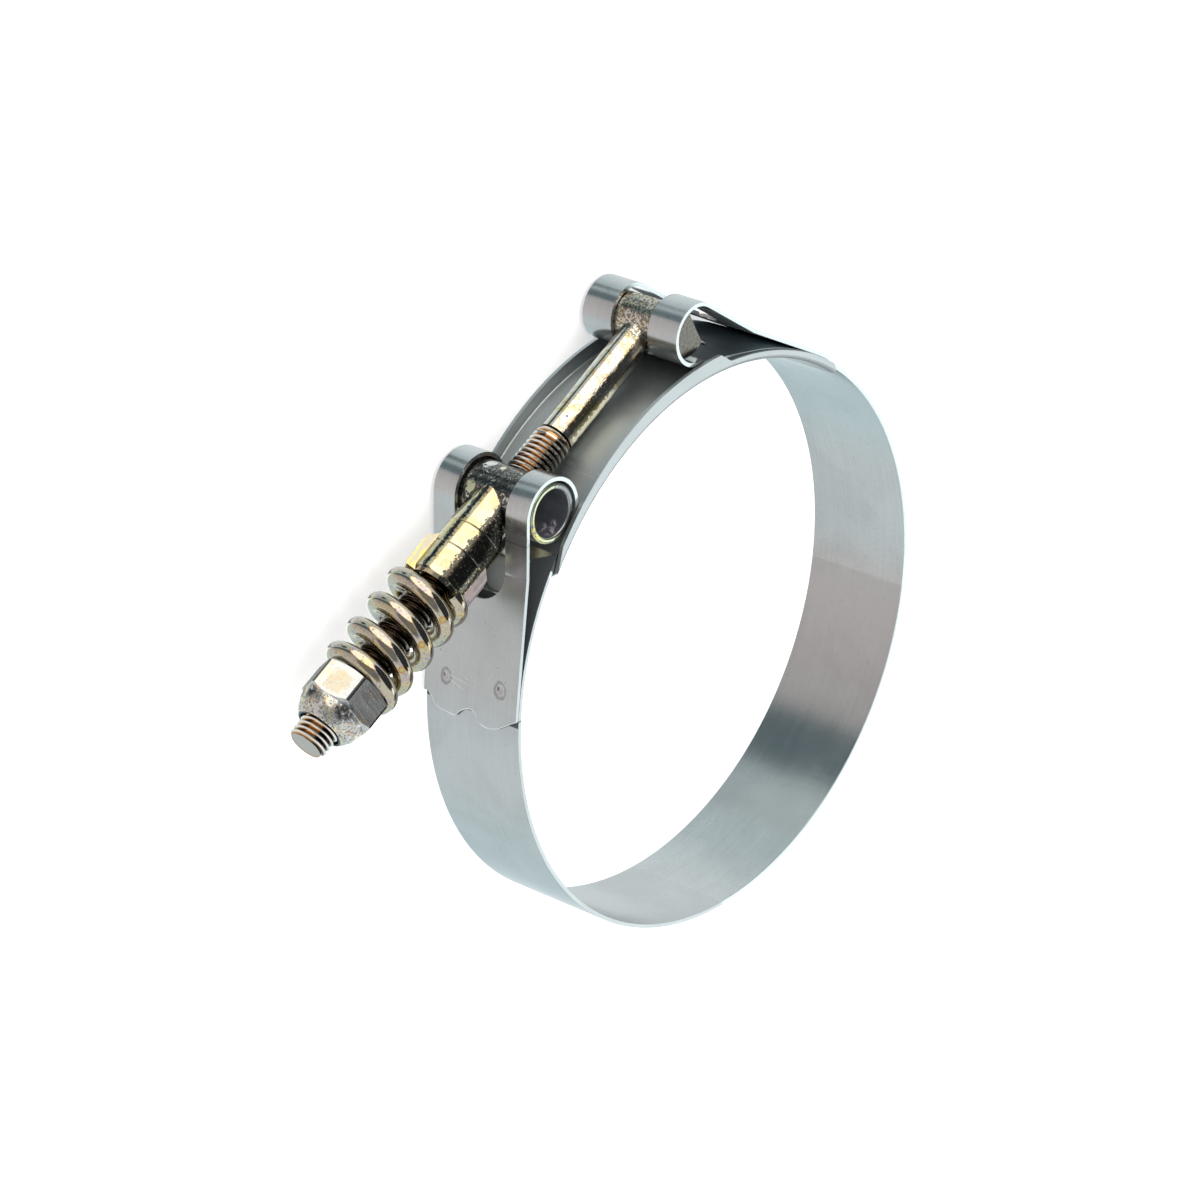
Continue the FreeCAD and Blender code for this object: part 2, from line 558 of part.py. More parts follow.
# T-bolt: D-shaped head across the loop, plain shank, then the thread's outer cylinder
t_bolt = new_body("t_bolt")
head_x = head_offset - head_loop_radius + head_seat_gap + head_radius
shank_shape = new_sketch(t_bolt, "shank_outline", "XY_Plane", Vector(0, bolt_line, 0))
thread_start = thread_length - bolt_end
shank_points = [Vector(-bolt_end, 0, 0), Vector(-bolt_end, thread_radius - bolt_chamfer, 0),
                Vector(-bolt_end + bolt_chamfer, thread_radius, 0),
                Vector(thread_start, thread_radius, 0),
                Vector(thread_start + thread_radius - shank_radius, shank_radius, 0),
                Vector(head_x, shank_radius, 0), Vector(head_x, 0, 0)]
add_outline(shank_shape, shank_points)
for level in (2, 4, 6):
    shank_shape.addConstraint(Sketcher.Constraint("Horizontal", level))
shank_shape.addConstraint(Sketcher.Constraint("PointOnObject", 0, 1, -1))
bind(shank_shape, "end", "Sizes.bolt_end", "DistanceX", 0, 1, -1, 1, bolt_end)
bind(shank_shape, "thread", "Sizes.thread_radius", "DistanceY", -1, 1, 2, 1, thread_radius)
bind(shank_shape, "shank", "Sizes.shank_radius", "DistanceY", -1, 1, 4, 1, shank_radius)
shank = t_bolt.newObject("PartDesign::Revolution", "shank")
shank.Profile = shank_shape
shank.ReferenceAxis = (shank_shape, ["H_Axis"])
shank_shape.Visibility = False
doc.recompute()
head_shape = new_sketch(t_bolt, "head_outline", "XY_Plane", Vector(head_x, bolt_line, 0))
head_half_angle = math.degrees(math.acos(head_flat / head_radius))
flat_top = at_angle(head_radius, head_half_angle)
flat_low = Vector(flat_top.x, -flat_top.y, 0)
add_arc(head_shape, centre, head_radius, head_half_angle, 360 - head_half_angle)
add_line(head_shape, flat_low, flat_top)
head_shape.addConstraint(Sketcher.Constraint("Coincident", 0, 2, 1, 1))
head_shape.addConstraint(Sketcher.Constraint("Coincident", 1, 2, 0, 1))
head_shape.addConstraint(Sketcher.Constraint("Coincident", 0, 3, -1, 1))
head_shape.addConstraint(Sketcher.Constraint("Vertical", 1))
bind(head_shape, "radius", "Sizes.head_radius", "Radius", 0, head_radius)
bind(head_shape, "flat", "Sizes.head_flat", "DistanceX", -1, 1, 1, 1, head_flat)
head = t_bolt.newObject("PartDesign::Pad", "head")
head.Profile = head_shape
head.SideType = "Symmetric"
head.setExpression("Length", "Sizes.band_width - 2 * Sizes.head_inset")
head_shape.Visibility = False
doc.recompute()


def edges_of(shape, test):
    return ["Edge%d" % (i + 1) for i, edge in enumerate(shape.Edges) if test(edge)]


def is_back_corner(edge):
    box = edge.BoundBox
    return box.XLength < 0.01 and box.YLength < 0.01 and box.ZLength > head_length * 0.9


back = t_bolt.newObject("PartDesign::Fillet", "head_back_corners")
back.Base = (head, edges_of(head.Shape, is_back_corner))
back.Radius = 0.9
doc.recompute()


def is_head_end(edge):
    box = edge.BoundBox
    return box.ZLength < 0.01 and abs(abs(box.ZMin) - head_length / 2) < 0.01


ends = t_bolt.newObject("PartDesign::Chamfer", "head_end_chamfer")
ends.Base = (back, edges_of(back.Shape, is_head_end))
ends.Size = 0.35
doc.recompute()
t_bolt.Label = "t_bolt"
pieces["t_bolt"] = t_bolt

# Trunnion: a tube across the nut loop with a cross hole for the bolt
trunnion = new_body("trunnion")
tube_shape = new_sketch(trunnion, "tube_outline", "XY_Plane", trunnion_centre)
tube_shape.addGeometry(Part.Circle(centre, Vector(0, 0, 1), trunnion_radius), False)
tube_shape.addGeometry(Part.Circle(centre, Vector(0, 0, 1), trunnion_bore), False)
for ring in (0, 1):
    tube_shape.addConstraint(Sketcher.Constraint("Coincident", ring, 3, -1, 1))
bind(tube_shape, "outside", "Sizes.trunnion_radius", "Radius", 0, trunnion_radius)
bind(tube_shape, "inside", "Sizes.trunnion_bore", "Radius", 1, trunnion_bore)
tube = trunnion.newObject("PartDesign::Pad", "tube")
tube.Profile = tube_shape
tube.SideType = "Symmetric"
tube.setExpression("Length", "Sizes.band_width - 2 * Sizes.trunnion_inset")
tube_shape.Visibility = False
doc.recompute()
tube_ends = trunnion.newObject("PartDesign::Chamfer", "tube_ends")
tube_ends.Base = (tube, edges_of(tube.Shape, lambda edge: edge.BoundBox.ZLength < 0.01))
tube_ends.Size = 0.2
doc.recompute()
cross_shape = new_sketch(trunnion, "cross_hole_outline", "YZ_Plane",
                         Vector(bolt_line, 0, -trunnion_offset))
cross_shape.addGeometry(Part.Circle(centre, Vector(0, 0, 1), thread_radius + bolt_fit), False)
bind(cross_shape, "bore", "Sizes.thread_radius + Sizes.bolt_fit", "Radius", 0,
     thread_radius + bolt_fit)
cut(trunnion, "cross_hole", cross_shape, trunnion_radius * 2 + 2, both_sides=True)
trunnion.Label = "trunnion"
pieces["trunnion"] = trunnion

# Sleeve: turned tube over the bolt, a saddle against the trunnion, two side lugs at the spring
sleeve = new_body("sleeve")
sleeve_bore = thread_radius + bolt_fit
line_half = 0.16
end_radius = sleeve_radius - sleeve_chamfer / 2
sleeve_points = [Vector(-trunnion_offset, 0, 0),
                 Vector(-trunnion_offset, sleeve_radius, 0)]
for turned_line in (sleeve_line, second_line):
    sleeve_points.append(Vector(-turned_line + line_half, sleeve_radius, 0))
    sleeve_points.append(Vector(-turned_line, sleeve_radius - line_half, 0))
    sleeve_points.append(Vector(-turned_line - line_half, sleeve_radius, 0))
sleeve_points.append(Vector(-sleeve_end + sleeve_chamfer, sleeve_radius, 0))
sleeve_points.append(Vector(-sleeve_end, end_radius, 0))
sleeve_points.append(Vector(-sleeve_end, 0, 0))
sleeve_shape = new_sketch(sleeve, "sleeve_outline", "XY_Plane", Vector(0, bolt_line, 0))
add_outline(sleeve_shape, sleeve_points)
for level in (1, 4, 7, 10):
    sleeve_shape.addConstraint(Sketcher.Constraint("Horizontal", level))
bind(sleeve_shape, "body", "Sizes.sleeve_radius", "DistanceY", -1, 1, 1, 1, sleeve_radius)
bind(sleeve_shape, "end", "Sizes.sleeve_end", "DistanceX", 9, 1, -1, 1, sleeve_end)
sleeve_turned = sleeve.newObject("PartDesign::Revolution", "sleeve_turned")
sleeve_turned.Profile = sleeve_shape
sleeve_turned.ReferenceAxis = (sleeve_shape, ["H_Axis"])
sleeve_shape.Visibility = False
doc.recompute()
lug_shape = new_sketch(sleeve, "lug_outline", "XY_Plane", Vector(0, bolt_line, 0), lug_turn,
                       Vector(1, 0, 0))
lug_rise = 1.5
lug_corner = 0.35
add_outline(lug_shape, [Vector(-lug_start, -sleeve_radius + 0.3, 0),
                        Vector(-lug_start - lug_rise, -lug_radius, 0),
                        Vector(-sleeve_end + lug_corner, -lug_radius, 0),
                        Vector(-sleeve_end, -lug_radius + lug_corner, 0),
                        Vector(-sleeve_end, lug_radius - lug_corner, 0),
                        Vector(-sleeve_end + lug_corner, lug_radius, 0),
                        Vector(-lug_start - lug_rise, lug_radius, 0),
                        Vector(-lug_start, sleeve_radius - 0.3, 0)])
for level in (1, 5):
    lug_shape.addConstraint(Sketcher.Constraint("Horizontal", level))
bind(lug_shape, "reach", "Sizes.lug_radius", "DistanceY", -1, 1, 5, 1, lug_radius)
lugs = sleeve.newObject("PartDesign::Pad", "lugs")
lugs.Profile = lug_shape
lugs.SideType = "Symmetric"
lugs.setExpression("Length", "Sizes.lug_thickness")
lug_shape.Visibility = False
doc.recompute()
bore_shape = new_sketch(sleeve, "bore_outline", "YZ_Plane", Vector(bolt_line, 0, -sleeve_end))
bore_shape.addGeometry(Part.Circle(centre, Vector(0, 0, 1), sleeve_bore), False)
bore_shape.addConstraint(Sketcher.Constraint("Coincident", 0, 3, -1, 1))
bind(bore_shape, "bore", "Sizes.thread_radius + Sizes.bolt_fit", "Radius", 0, sleeve_bore)
cut(sleeve, "bore", bore_shape, 2 * sleeve_end, both_sides=True)
saddle_shape = new_sketch(sleeve, "saddle_outline", "XY_Plane", trunnion_centre)
saddle_radius = trunnion_radius + seat_gap
saddle_shape.addGeometry(Part.Circle(centre, Vector(0, 0, 1), saddle_radius), False)
saddle_shape.addConstraint(Sketcher.Constraint("Coincident", 0, 3, -1, 1))
bind(saddle_shape, "radius", "Sizes.trunnion_radius + Sizes.seat_gap", "Radius", 0, saddle_radius)
cut(sleeve, "saddle", saddle_shape, sleeve_radius * 2 + 4, both_sides=True)
sleeve.Label = "sleeve"
pieces["sleeve"] = sleeve

# Spring: open turns between closed ones, both ends ground flat
spring_top = -sleeve_end - seat_gap
spring_low = spring_top - spring_length
spring_middle = (spring_top + spring_low) / 2
total_turns = spring_active + 2 * spring_closed
open_half = spring_active * open_pitch / 2
steps = 8
count = int(round(total_turns * steps))


def coil_drop(turns):
    """How far along the bolt the wire lies, measured from the middle of the spring."""
    from_middle = turns - total_turns / 2
    inside = min(abs(from_middle), spring_active / 2)
    outside = abs(from_middle) - inside
    reach = inside * open_pitch + outside * closed_pitch
    return math.copysign(reach, from_middle)


def coil_stations():
    """Centre, outward and side directions of the wire's round section along the coil."""
    stations = []
    for i in range(count + 1):
        turns = total_turns * i / count
        around = math.radians(spring_phase + 360 * turns)
        outward = Vector(0, math.cos(around), math.sin(around))
        middle = Vector(spring_middle - coil_drop(turns), bolt_line, 0) + outward * spring_radius
        step = 0.5 / steps
        ahead = coil_drop(min(turns + step, total_turns))
        behind = coil_drop(max(turns - step, 0))
        span = min(turns + step, total_turns) - max(turns - step, 0)
        rise = -(ahead - behind) / span / (2 * math.pi)
        heading = Vector(rise, -spring_radius * math.sin(around), spring_radius * math.cos(around))
        heading.normalize()
        stations.append((middle, outward, heading.cross(outward)))
    return stations


# The wire's surface: a round section of nine poles carried through the stations
section_poles = 9
pole_weight = [1.0 if j % 2 == 0 else math.sqrt(0.5) for j in range(section_poles)]
rows = []
for j in range(section_poles):
    turn = math.radians(45 * j)
    reach = wire_radius / pole_weight[j]
    row_points = []
    for middle, outward, aside in coil_stations():
        row_points.append(middle + outward * reach * math.cos(turn) + aside * reach * math.sin(turn))
    row_line = Part.BSplineCurve()
    row_line.interpolate(Points=row_points, Parameters=[float(i) for i in range(count + 1)])
    rows.append(row_line)
wire_surface = Part.BSplineSurface()
wire_surface.buildFromPolesMultsKnots(
    [row.getPoles() for row in rows], [3, 2, 2, 2, 3], rows[0].getMultiplicities(),
    [0.0, 0.25, 0.5, 0.75, 1.0], rows[0].getKnots(), False, False, 2, rows[0].Degree,
    [[pole_weight[j]] * len(rows[j].getPoles()) for j in range(section_poles)])
wire_skin = wire_surface.toShape()
skin_faces = [wire_skin]
for edge in wire_skin.Edges:
    rim = edge.BoundBox
    small = max(rim.XLength, rim.YLength, rim.ZLength) < 2.2 * wire_radius
    if small and edge.isClosed():
        skin_faces.append(Part.Face(Part.Wire(edge)))
wire_shell = Part.makeShell(skin_faces)
wire_shell.sewShape()
whole_coil = Part.Solid(wire_shell)
if whole_coil.Volume < 0:
    whole_coil.reverse()
grinding = Part.makeCylinder(spring_radius + wire_radius + 2, spring_length,
                             Vector(spring_low, bolt_line, 0), Vector(1, 0, 0))
ground_coil = whole_coil.common(grinding)
spring = doc.addObject("Part::Feature", "spring")
spring.Shape = ground_coil
spring.Label = "spring"
pieces["spring"] = spring

# Lock nut: hexagon, shoulder, and a collar crimped over the insert
nut_base = spring_low - seat_gap
lock_nut = new_body("lock_nut")
nut_bore = thread_radius + bolt_fit
corner_radius = nut_flats / math.sqrt(3)
flat_radius = nut_flats / 2
nut_end = nut_base - nut_height
hex_end = nut_base - nut_hex_height
pocket_start = nut_end + nut_insert_depth
nut_points = [Vector(nut_base, nut_bore, 0), Vector(nut_base, flat_radius - 0.1, 0),
              Vector(nut_base - 0.45, corner_radius, 0), Vector(hex_end, corner_radius, 0),
              Vector(hex_end, flat_radius, 0),
              Vector(nut_end + 1.5, nut_collar_radius, 0),
              Vector(nut_end + 0.45, nut_collar_radius - 0.72, 0),
              Vector(nut_end, nut_collar_radius - 1.15, 0),
              Vector(nut_end, nut_mouth_radius, 0),
              Vector(nut_end + nut_lip, nut_mouth_radius, 0),
              Vector(nut_end + nut_lip, nut_insert_radius, 0),
              Vector(pocket_start, nut_insert_radius, 0),
              Vector(pocket_start, nut_bore, 0)]
nut_shape = new_sketch(lock_nut, "nut_outline", "XY_Plane", Vector(0, bolt_line, 0))
add_outline(nut_shape, nut_points)
for level in (2, 10, 12):
    nut_shape.addConstraint(Sketcher.Constraint("Horizontal", level))
bind(nut_shape, "bore", "Sizes.thread_radius + Sizes.bolt_fit",
     "DistanceY", -1, 1, 0, 1, nut_bore)
bind(nut_shape, "insert", "Sizes.nut_insert_radius",
     "DistanceY", -1, 1, 10, 1, nut_insert_radius)
nut_turned = lock_nut.newObject("PartDesign::Revolution", "nut_turned")
nut_turned.Profile = nut_shape
nut_turned.ReferenceAxis = (nut_shape, ["H_Axis"])
nut_shape.Visibility = False
doc.recompute()
hex_shape = new_sketch(lock_nut, "hexagon", "YZ_Plane", Vector(bolt_line, 0, nut_base))
hex_points = [at_angle(corner_radius, nut_turn + 60 * i) for i in range(6)]
outer_points = [at_angle(corner_radius + 3, nut_turn + 60 * i) for i in range(6)]
add_outline(hex_shape, hex_points)
add_outline(hex_shape, outer_points)
cut(lock_nut, "hexagon_flats", hex_shape, nut_hex_height * 2 + 0.02, both_sides=True)
bevel_shape = new_sketch(lock_nut, "corner_bevel", "XY_Plane", Vector(0, bolt_line, 0))
add_outline(bevel_shape, [Vector(hex_end - 0.1, flat_radius - 0.08, 0),
                          Vector(hex_end + 0.8, corner_radius + 0.1, 0),
                          Vector(hex_end - 0.1, corner_radius + 0.1, 0)])
bevel = lock_nut.newObject("PartDesign::Groove", "corner_bevel_groove")
bevel.Profile = bevel_shape
bevel.ReferenceAxis = (bevel_shape, ["H_Axis"])
bevel_shape.Visibility = False
doc.recompute()
lock_nut.Label = "lock_nut"
pieces["lock_nut"] = lock_nut

# Insert ring held in the nut's collar, gripping the thread
nut_insert = new_body("nut_insert")
insert_gap = 0.06
insert_shape = new_sketch(nut_insert, "insert_outline", "XY_Plane", Vector(0, bolt_line, 0))
add_outline(insert_shape, [Vector(pocket_start - insert_gap, nut_bore, 0),
                           Vector(pocket_start - insert_gap, nut_insert_radius - insert_gap, 0),
                           Vector(nut_end + nut_lip + insert_gap, nut_insert_radius - insert_gap, 0),
                           Vector(nut_end + nut_lip + insert_gap, nut_bore, 0)])
insert_turned = nut_insert.newObject("PartDesign::Revolution", "insert_turned")
insert_turned.Profile = insert_shape
insert_turned.ReferenceAxis = (insert_shape, ["H_Axis"])
insert_shape.Visibility = False
nut_insert.Label = "nut_insert"
pieces["nut_insert"] = nut_insert

doc.recompute()
for thing in doc.Objects:
    if "Invalid" in thing.State or "Error" in thing.State:
        raise RuntimeError(thing.Name + " failed to build")
for name, piece in pieces.items():
    shape = piece.Shape
    if shape.isNull() or not shape.isValid() or len(shape.Solids) != 1:
        raise RuntimeError(name + " is not one sound solid")
for name, piece in pieces.items():
    piece.Shape.exportStep("parts/%s.step" % name)
    box = piece.Shape.BoundBox
    print(name, "volume %.1f" % piece.Shape.Volume, "faces", len(piece.Shape.Faces),
          "x %.2f..%.2f y %.2f..%.2f z %.2f..%.2f"
          % (box.XMin, box.XMax, box.YMin, box.YMax, box.ZMin, box.ZMax))
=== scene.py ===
# %% [markdown]
# # A T-bolt clamp, dressed in steel and yellow plating
# The solids of the clamp come from the imported frame, already in their places. This lesson
# gives them their metals, cuts a real thread on the bolt, and sets a camera and a plain pale
# studio round them. All lengths are in metres.

# %% Load the frame
import json
import math

import bpy
from mathutils import Euler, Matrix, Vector
from mathutils.bvhtree import BVHTree

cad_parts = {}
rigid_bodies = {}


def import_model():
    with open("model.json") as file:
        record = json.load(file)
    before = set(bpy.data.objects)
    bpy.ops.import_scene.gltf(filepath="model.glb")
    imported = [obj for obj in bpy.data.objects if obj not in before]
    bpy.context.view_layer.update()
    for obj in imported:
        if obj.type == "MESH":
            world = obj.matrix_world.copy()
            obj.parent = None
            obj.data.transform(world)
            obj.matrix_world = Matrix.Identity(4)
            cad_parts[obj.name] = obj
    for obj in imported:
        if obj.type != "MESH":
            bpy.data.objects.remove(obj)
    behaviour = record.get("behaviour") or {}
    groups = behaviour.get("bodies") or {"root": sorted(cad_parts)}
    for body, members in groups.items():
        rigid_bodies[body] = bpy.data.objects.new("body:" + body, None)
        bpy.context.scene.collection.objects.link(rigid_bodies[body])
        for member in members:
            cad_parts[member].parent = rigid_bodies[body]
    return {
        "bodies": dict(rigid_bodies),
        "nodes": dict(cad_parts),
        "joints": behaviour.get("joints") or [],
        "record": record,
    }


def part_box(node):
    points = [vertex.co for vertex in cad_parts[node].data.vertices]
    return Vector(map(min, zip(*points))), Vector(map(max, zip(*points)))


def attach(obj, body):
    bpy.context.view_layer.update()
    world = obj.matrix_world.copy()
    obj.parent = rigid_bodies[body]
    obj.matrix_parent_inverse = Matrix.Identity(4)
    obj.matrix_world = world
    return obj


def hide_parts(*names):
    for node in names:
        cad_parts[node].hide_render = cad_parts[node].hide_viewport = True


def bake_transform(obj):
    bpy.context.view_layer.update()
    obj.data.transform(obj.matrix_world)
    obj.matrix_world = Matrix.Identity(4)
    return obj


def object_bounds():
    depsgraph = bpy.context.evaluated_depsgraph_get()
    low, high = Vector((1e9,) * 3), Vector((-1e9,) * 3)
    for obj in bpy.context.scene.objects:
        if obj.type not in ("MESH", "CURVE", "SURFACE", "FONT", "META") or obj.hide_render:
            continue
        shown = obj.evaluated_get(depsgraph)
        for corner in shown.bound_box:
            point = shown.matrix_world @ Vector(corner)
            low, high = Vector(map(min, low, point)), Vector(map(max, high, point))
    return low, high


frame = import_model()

cad_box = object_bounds()
print("clamp box", [[round(v, 4) for v in corner] for corner in cad_box])

# %% [markdown]
# The camera stands where the photograph's stood: half a metre off, looking down on the ring
# with the bolt running from lower left to the top. Its place and turn were worked out from
# the arcs of the band's four edges, so nothing here is framed by hand.

# %% Camera
camera_place = Vector((-0.281163, 0.511354, 0.423511))
camera_turn = Euler([math.radians(a) for a in (-24.448, -48.637, -30.032)], "XYZ")
camera_data = bpy.data.cameras.new("camera")
camera_data.lens = 135
camera_data.sensor_width = 36
camera = bpy.data.objects.new("camera", camera_data)
camera.location = camera_place
camera.rotation_euler = camera_turn
bpy.context.collection.objects.link(camera)
bpy.context.scene.camera = camera
bpy.context.scene.view_settings.view_transform = "Standard"
print("camera", round(camera_place.length, 3), "m from the ring's centre")

# %% [markdown]
# Shader maths reads best as plain sums. Amount wraps one number socket, so that
# `1 - mask * 0.3` adds the Math nodes by itself. Most marks on the metal are such masks: 1
# where the mark is, 0 elsewhere, with a soft step between.

# %% A socket that adds up
class Amount:
    """One number socket. Sums and products of it add Math nodes."""

    def __init__(self, maker, socket):
        self.maker = maker
        self.socket = socket

    def math(self, operation, *others):
        made = self.maker.node("Math", {"operation": operation}, self, *others)
        return Amount(self.maker, made.outputs[0])

    def __add__(self, other):
        return self.math("ADD", other)

    def __sub__(self, other):
        return self.math("SUBTRACT", other)

    def __rsub__(self, other):
        return self.math("MULTIPLY_ADD", -1.0, other)

    def __mul__(self, other):
        return self.math("MULTIPLY", other)

    def __truediv__(self, other):
        return self.math("DIVIDE", other)

    def __pow__(self, other):
        return self.math("POWER", other)

    __radd__ = __add__
    __rmul__ = __mul__

    def step(self, low, high):
        """Rises smoothly from 0 at low to 1 at high."""
        made = self.maker.node("MapRange", {"interpolation_type": "SMOOTHSTEP"}, self, low, high)
        return Amount(self.maker, made.outputs[0])

    def band(self, low, high, soft):
        """1 between low and high, 0 outside, with soft edges."""
        return self.step(low - soft, low + soft) * (1 - self.step(high - soft, high + soft))

    def clamp(self):
        return self.math("MAXIMUM", 0.0).math("MINIMUM", 1.0)


# %% [markdown]
# Maker holds the node tree of a material or of the world. Its method `node` adds any kind
# of node, sets it up and links what it is given. The other methods are the few nodes that
# this lesson uses again and again.

# %% A maker of nodes
class Maker:
    """A node tree that is being built up."""

    def __init__(self, tree):
        self.tree = tree
        tree.nodes.clear()

    def node(self, kind, settings={}, *values, **named):
        made = self.tree.nodes.new("ShaderNode" + kind)
        for key, value in settings.items():
            setattr(made, key, value)
        inputs = list(enumerate(values)) + [(k.replace("_", " "), v) for k, v in named.items()]
        for key, value in inputs:
            socket = made.inputs[key]
            if isinstance(value, Amount):
                value = value.socket
            if isinstance(value, bpy.types.NodeSocket):
                self.tree.links.new(value, socket)
            else:
                socket.default_value = value
        return made

    def amount(self, socket):
        return Amount(self, socket)

    def parts(self, vector):
        made = self.node("SeparateXYZ", {}, vector)
        return [self.amount(out) for out in made.outputs]

    def vector(self, x, y, z):
        return self.node("CombineXYZ", {}, x, y, z).outputs[0]

    def noise(self, vector, scale, detail=2.0, rough=0.5, warp=0.0):
        made = self.node("TexNoise", {}, Vector=vector, Scale=scale, Detail=detail,
                         Roughness=rough, Distortion=warp)
        return self.amount(made.outputs[0])

    def near(self, vector, point, radius, soft):
        """1 within a radius of a point, 0 farther off."""
        made = self.node("VectorMath", {"operation": "DISTANCE"}, vector, Vector(point))
        return 1 - self.amount(made.outputs["Value"]).step(radius - soft, radius + soft)

    def curve(self, value, points):
        """A smooth curve through points in the unit square."""
        made = self.node("FloatCurve", {}, 1.0, value)
        line = made.mapping.curves[0].points
        line[0].location, line[1].location = points[0], points[-1]
        for point in points[1:-1]:
            line.new(*point)
        made.mapping.update()
        return self.amount(made.outputs[0])

    def mix(self, amount, first, second):
        """Colour first where amount is 0, second where it is 1."""
        made = self.node("Mix", {"data_type": "RGBA"})
        for socket, value in ((made.inputs[0], amount), (made.inputs[6], first),
                              (made.inputs[7], second)):
            if isinstance(value, Amount):
                value = value.socket
            if isinstance(value, bpy.types.NodeSocket):
                self.tree.links.new(value, socket)
            elif isinstance(value, tuple):
                socket.default_value = (*value, 1.0)
            else:
                socket.default_value = value
        return made.outputs[2]


# %% [markdown]
# Finish is the node tree of one material. It starts from each point's own place on the
# piece, so that a mark stays where it is put when a joint moves. It ends in one Principled
# shader, with a bump for the finest relief.

# %% A material under construction
class Finish(Maker):
    """A material under construction."""

    def __init__(self, name):
        self.material = bpy.data.materials.new(name)
        self.material.use_nodes = True
        super().__init__(self.material.node_tree)
        self.place = self.node("TexCoord").outputs["Object"]
        self.x, self.y, self.z = self.parts(self.place)

    def made_mark(self, name):
        """A mark kept on the mesh itself: 1 on the faces that carry it."""
        made = self.node("Attribute", {"attribute_name": name})
        return self.amount(made.outputs["Fac"])

    def shine(self, colour, roughness, height=None, distance=1e-4, metallic=1.0, **named):
        bump = {}
        if height is not None:
            made = self.node("Bump", {}, Strength=1.0, Distance=distance, Height=height)
            bump = {"Normal": made.outputs[0]}
        shader = self.node("BsdfPrincipled", {}, Base_Color=colour, Roughness=roughness,
                           Metallic=metallic, **bump, **named)
        self.node("OutputMaterial", {}, shader.outputs[0])
        print("finish", self.material.name, len(self.tree.nodes), "nodes")
        return self.material


# %% [markdown]
# The studio is mostly pale. Polished metal shows what stands round it, so the room matters
# more than the lamps: a long pale wall, a darker gap beside the camera, one bright softbox
# behind the nut and a dark ceiling over the bolt. The camera itself sees only white.
#
# The wall is a colour ramp wound once round the room. Each stop has an angle in degrees, a
# brightness and a tint.

# %% The wall all round
world = bpy.data.worlds.new("studio")
bpy.context.scene.world = world
world.use_nodes = True
room = Maker(world.node_tree)
gaze = room.node("TexCoord").outputs["Generated"]
to_x, to_y, to_z = room.parts(gaze)
around = (to_y.math("ARCTAN2", to_x) / (2 * math.pi) + 1.0).math("FRACT")
cool = (0.93, 1.0, 1.01)
teal = (0.85, 1.0, 1.03)
aqua = (0.83, 1.0, 1.04)
deep = (0.70, 1.0, 1.10)
plain = (1.07, 1.0, 0.975)
wall_stops = [(0, 0.92, cool), (14, 0.90, cool), (42, 0.69, teal), (66, 0.67, teal),
              (76, 0.52, teal), (81, 0.17, deep), (100, 0.17, deep), (107, 0.52, plain),
              (150, 0.65, plain), (164, 0.68, plain), (178, 0.76, cool), (196, 0.82, cool),
              (215, 0.79, cool), (238, 0.82, aqua), (262, 0.78, aqua), (271, 0.84, aqua),
              (280, 1.15, cool), (288, 1.5, cool), (294, 1.5, cool), (299, 0.25, teal),
              (309, 0.28, teal), (316, 0.92, cool), (360, 0.92, cool)]
ramp = room.node("ValToRGB", {}, around)
stops = ramp.color_ramp.elements
stops.remove(stops[0])
for turn, level, tint in wall_stops:
    stop = stops.new(turn / 360) if turn else stops[0]
    stop.position = turn / 360
    stop.color = (*[level * part for part in tint], 1.0)
print("wall with", len(wall_stops), "stops")

# %% [markdown]
# Everything else in the room is a round patch about one direction: the softbox and the dark
# ceiling with their orange rims, a dark gap, a window with a dark beam below it, and the dim
# place behind the camera. The product of two unit vectors is 1 where they agree, so a step
# on that product draws a disc. Only mirror rays see the room, and they see it darker after
# two bounces, as between the coils.

# %% Softbox, ceiling and gap
softbox_way = (0.384, 0.887, 0.254)
ceiling_way = (0.50, -0.08, 0.862)


def towards(*way):
    """How nearly the gaze points along a direction: 1 is straight at it."""
    made = room.node("VectorMath", {"operation": "DOT_PRODUCT"}, gaze, Vector(way).normalized())
    return room.amount(made.outputs["Value"])


above = to_z.step(-0.49, -0.45)
softbox = towards(*softbox_way).step(0.785, 0.80) * above
warm_rim = towards(*softbox_way).step(0.745, 0.765) * above
gap = towards(0.384, 0.60, -0.70).step(0.989, 0.993)
ceiling = towards(*ceiling_way).step(0.782, 0.798)
ceiling_rim = towards(*ceiling_way).step(0.752, 0.772) * softbox
window = towards(0.384, -0.70, 0.602).step(0.983, 0.989)
beam = towards(0.384, -0.878, 0.285).step(0.972, 0.980)
behind_camera = towards(-0.55, 0.60, 0.58).step(0.72, 0.86)
lit = room.mix(to_z.step(-0.05, 0.20), ramp.outputs[0], (0.80, 0.83, 0.85))
lit = room.mix(behind_camera, lit, (0.22, 0.225, 0.22))
lit = room.mix(warm_rim, lit, (0.75, 0.40, 0.13))
lit = room.mix(softbox, lit, (1.75, 1.70, 1.58))
lit = room.mix(ceiling_rim * 0.8, lit, (1.10, 0.62, 0.22))
lit = room.mix(gap, lit, (0.05, 0.055, 0.06))
lit = room.mix(ceiling, lit, (0.035, 0.042, 0.048))
lit = room.mix(beam, lit, (0.08, 0.09, 0.10))
lit = room.mix(window, lit, (1.42, 1.56, 1.56))
seen = room.node("LightPath")
inner = room.amount(seen.outputs["Ray Depth"]).step(2.2, 2.8)
lit = room.mix(inner * 0.40, lit, (0.03, 0.036, 0.04))
white = room.mix(room.amount(seen.outputs["Is Glossy Ray"]), (1.0, 1.0, 1.0), lit)
backdrop = room.node("Background", {}, white, 1.0)
room.node("OutputWorld", {}, backdrop.outputs[0])
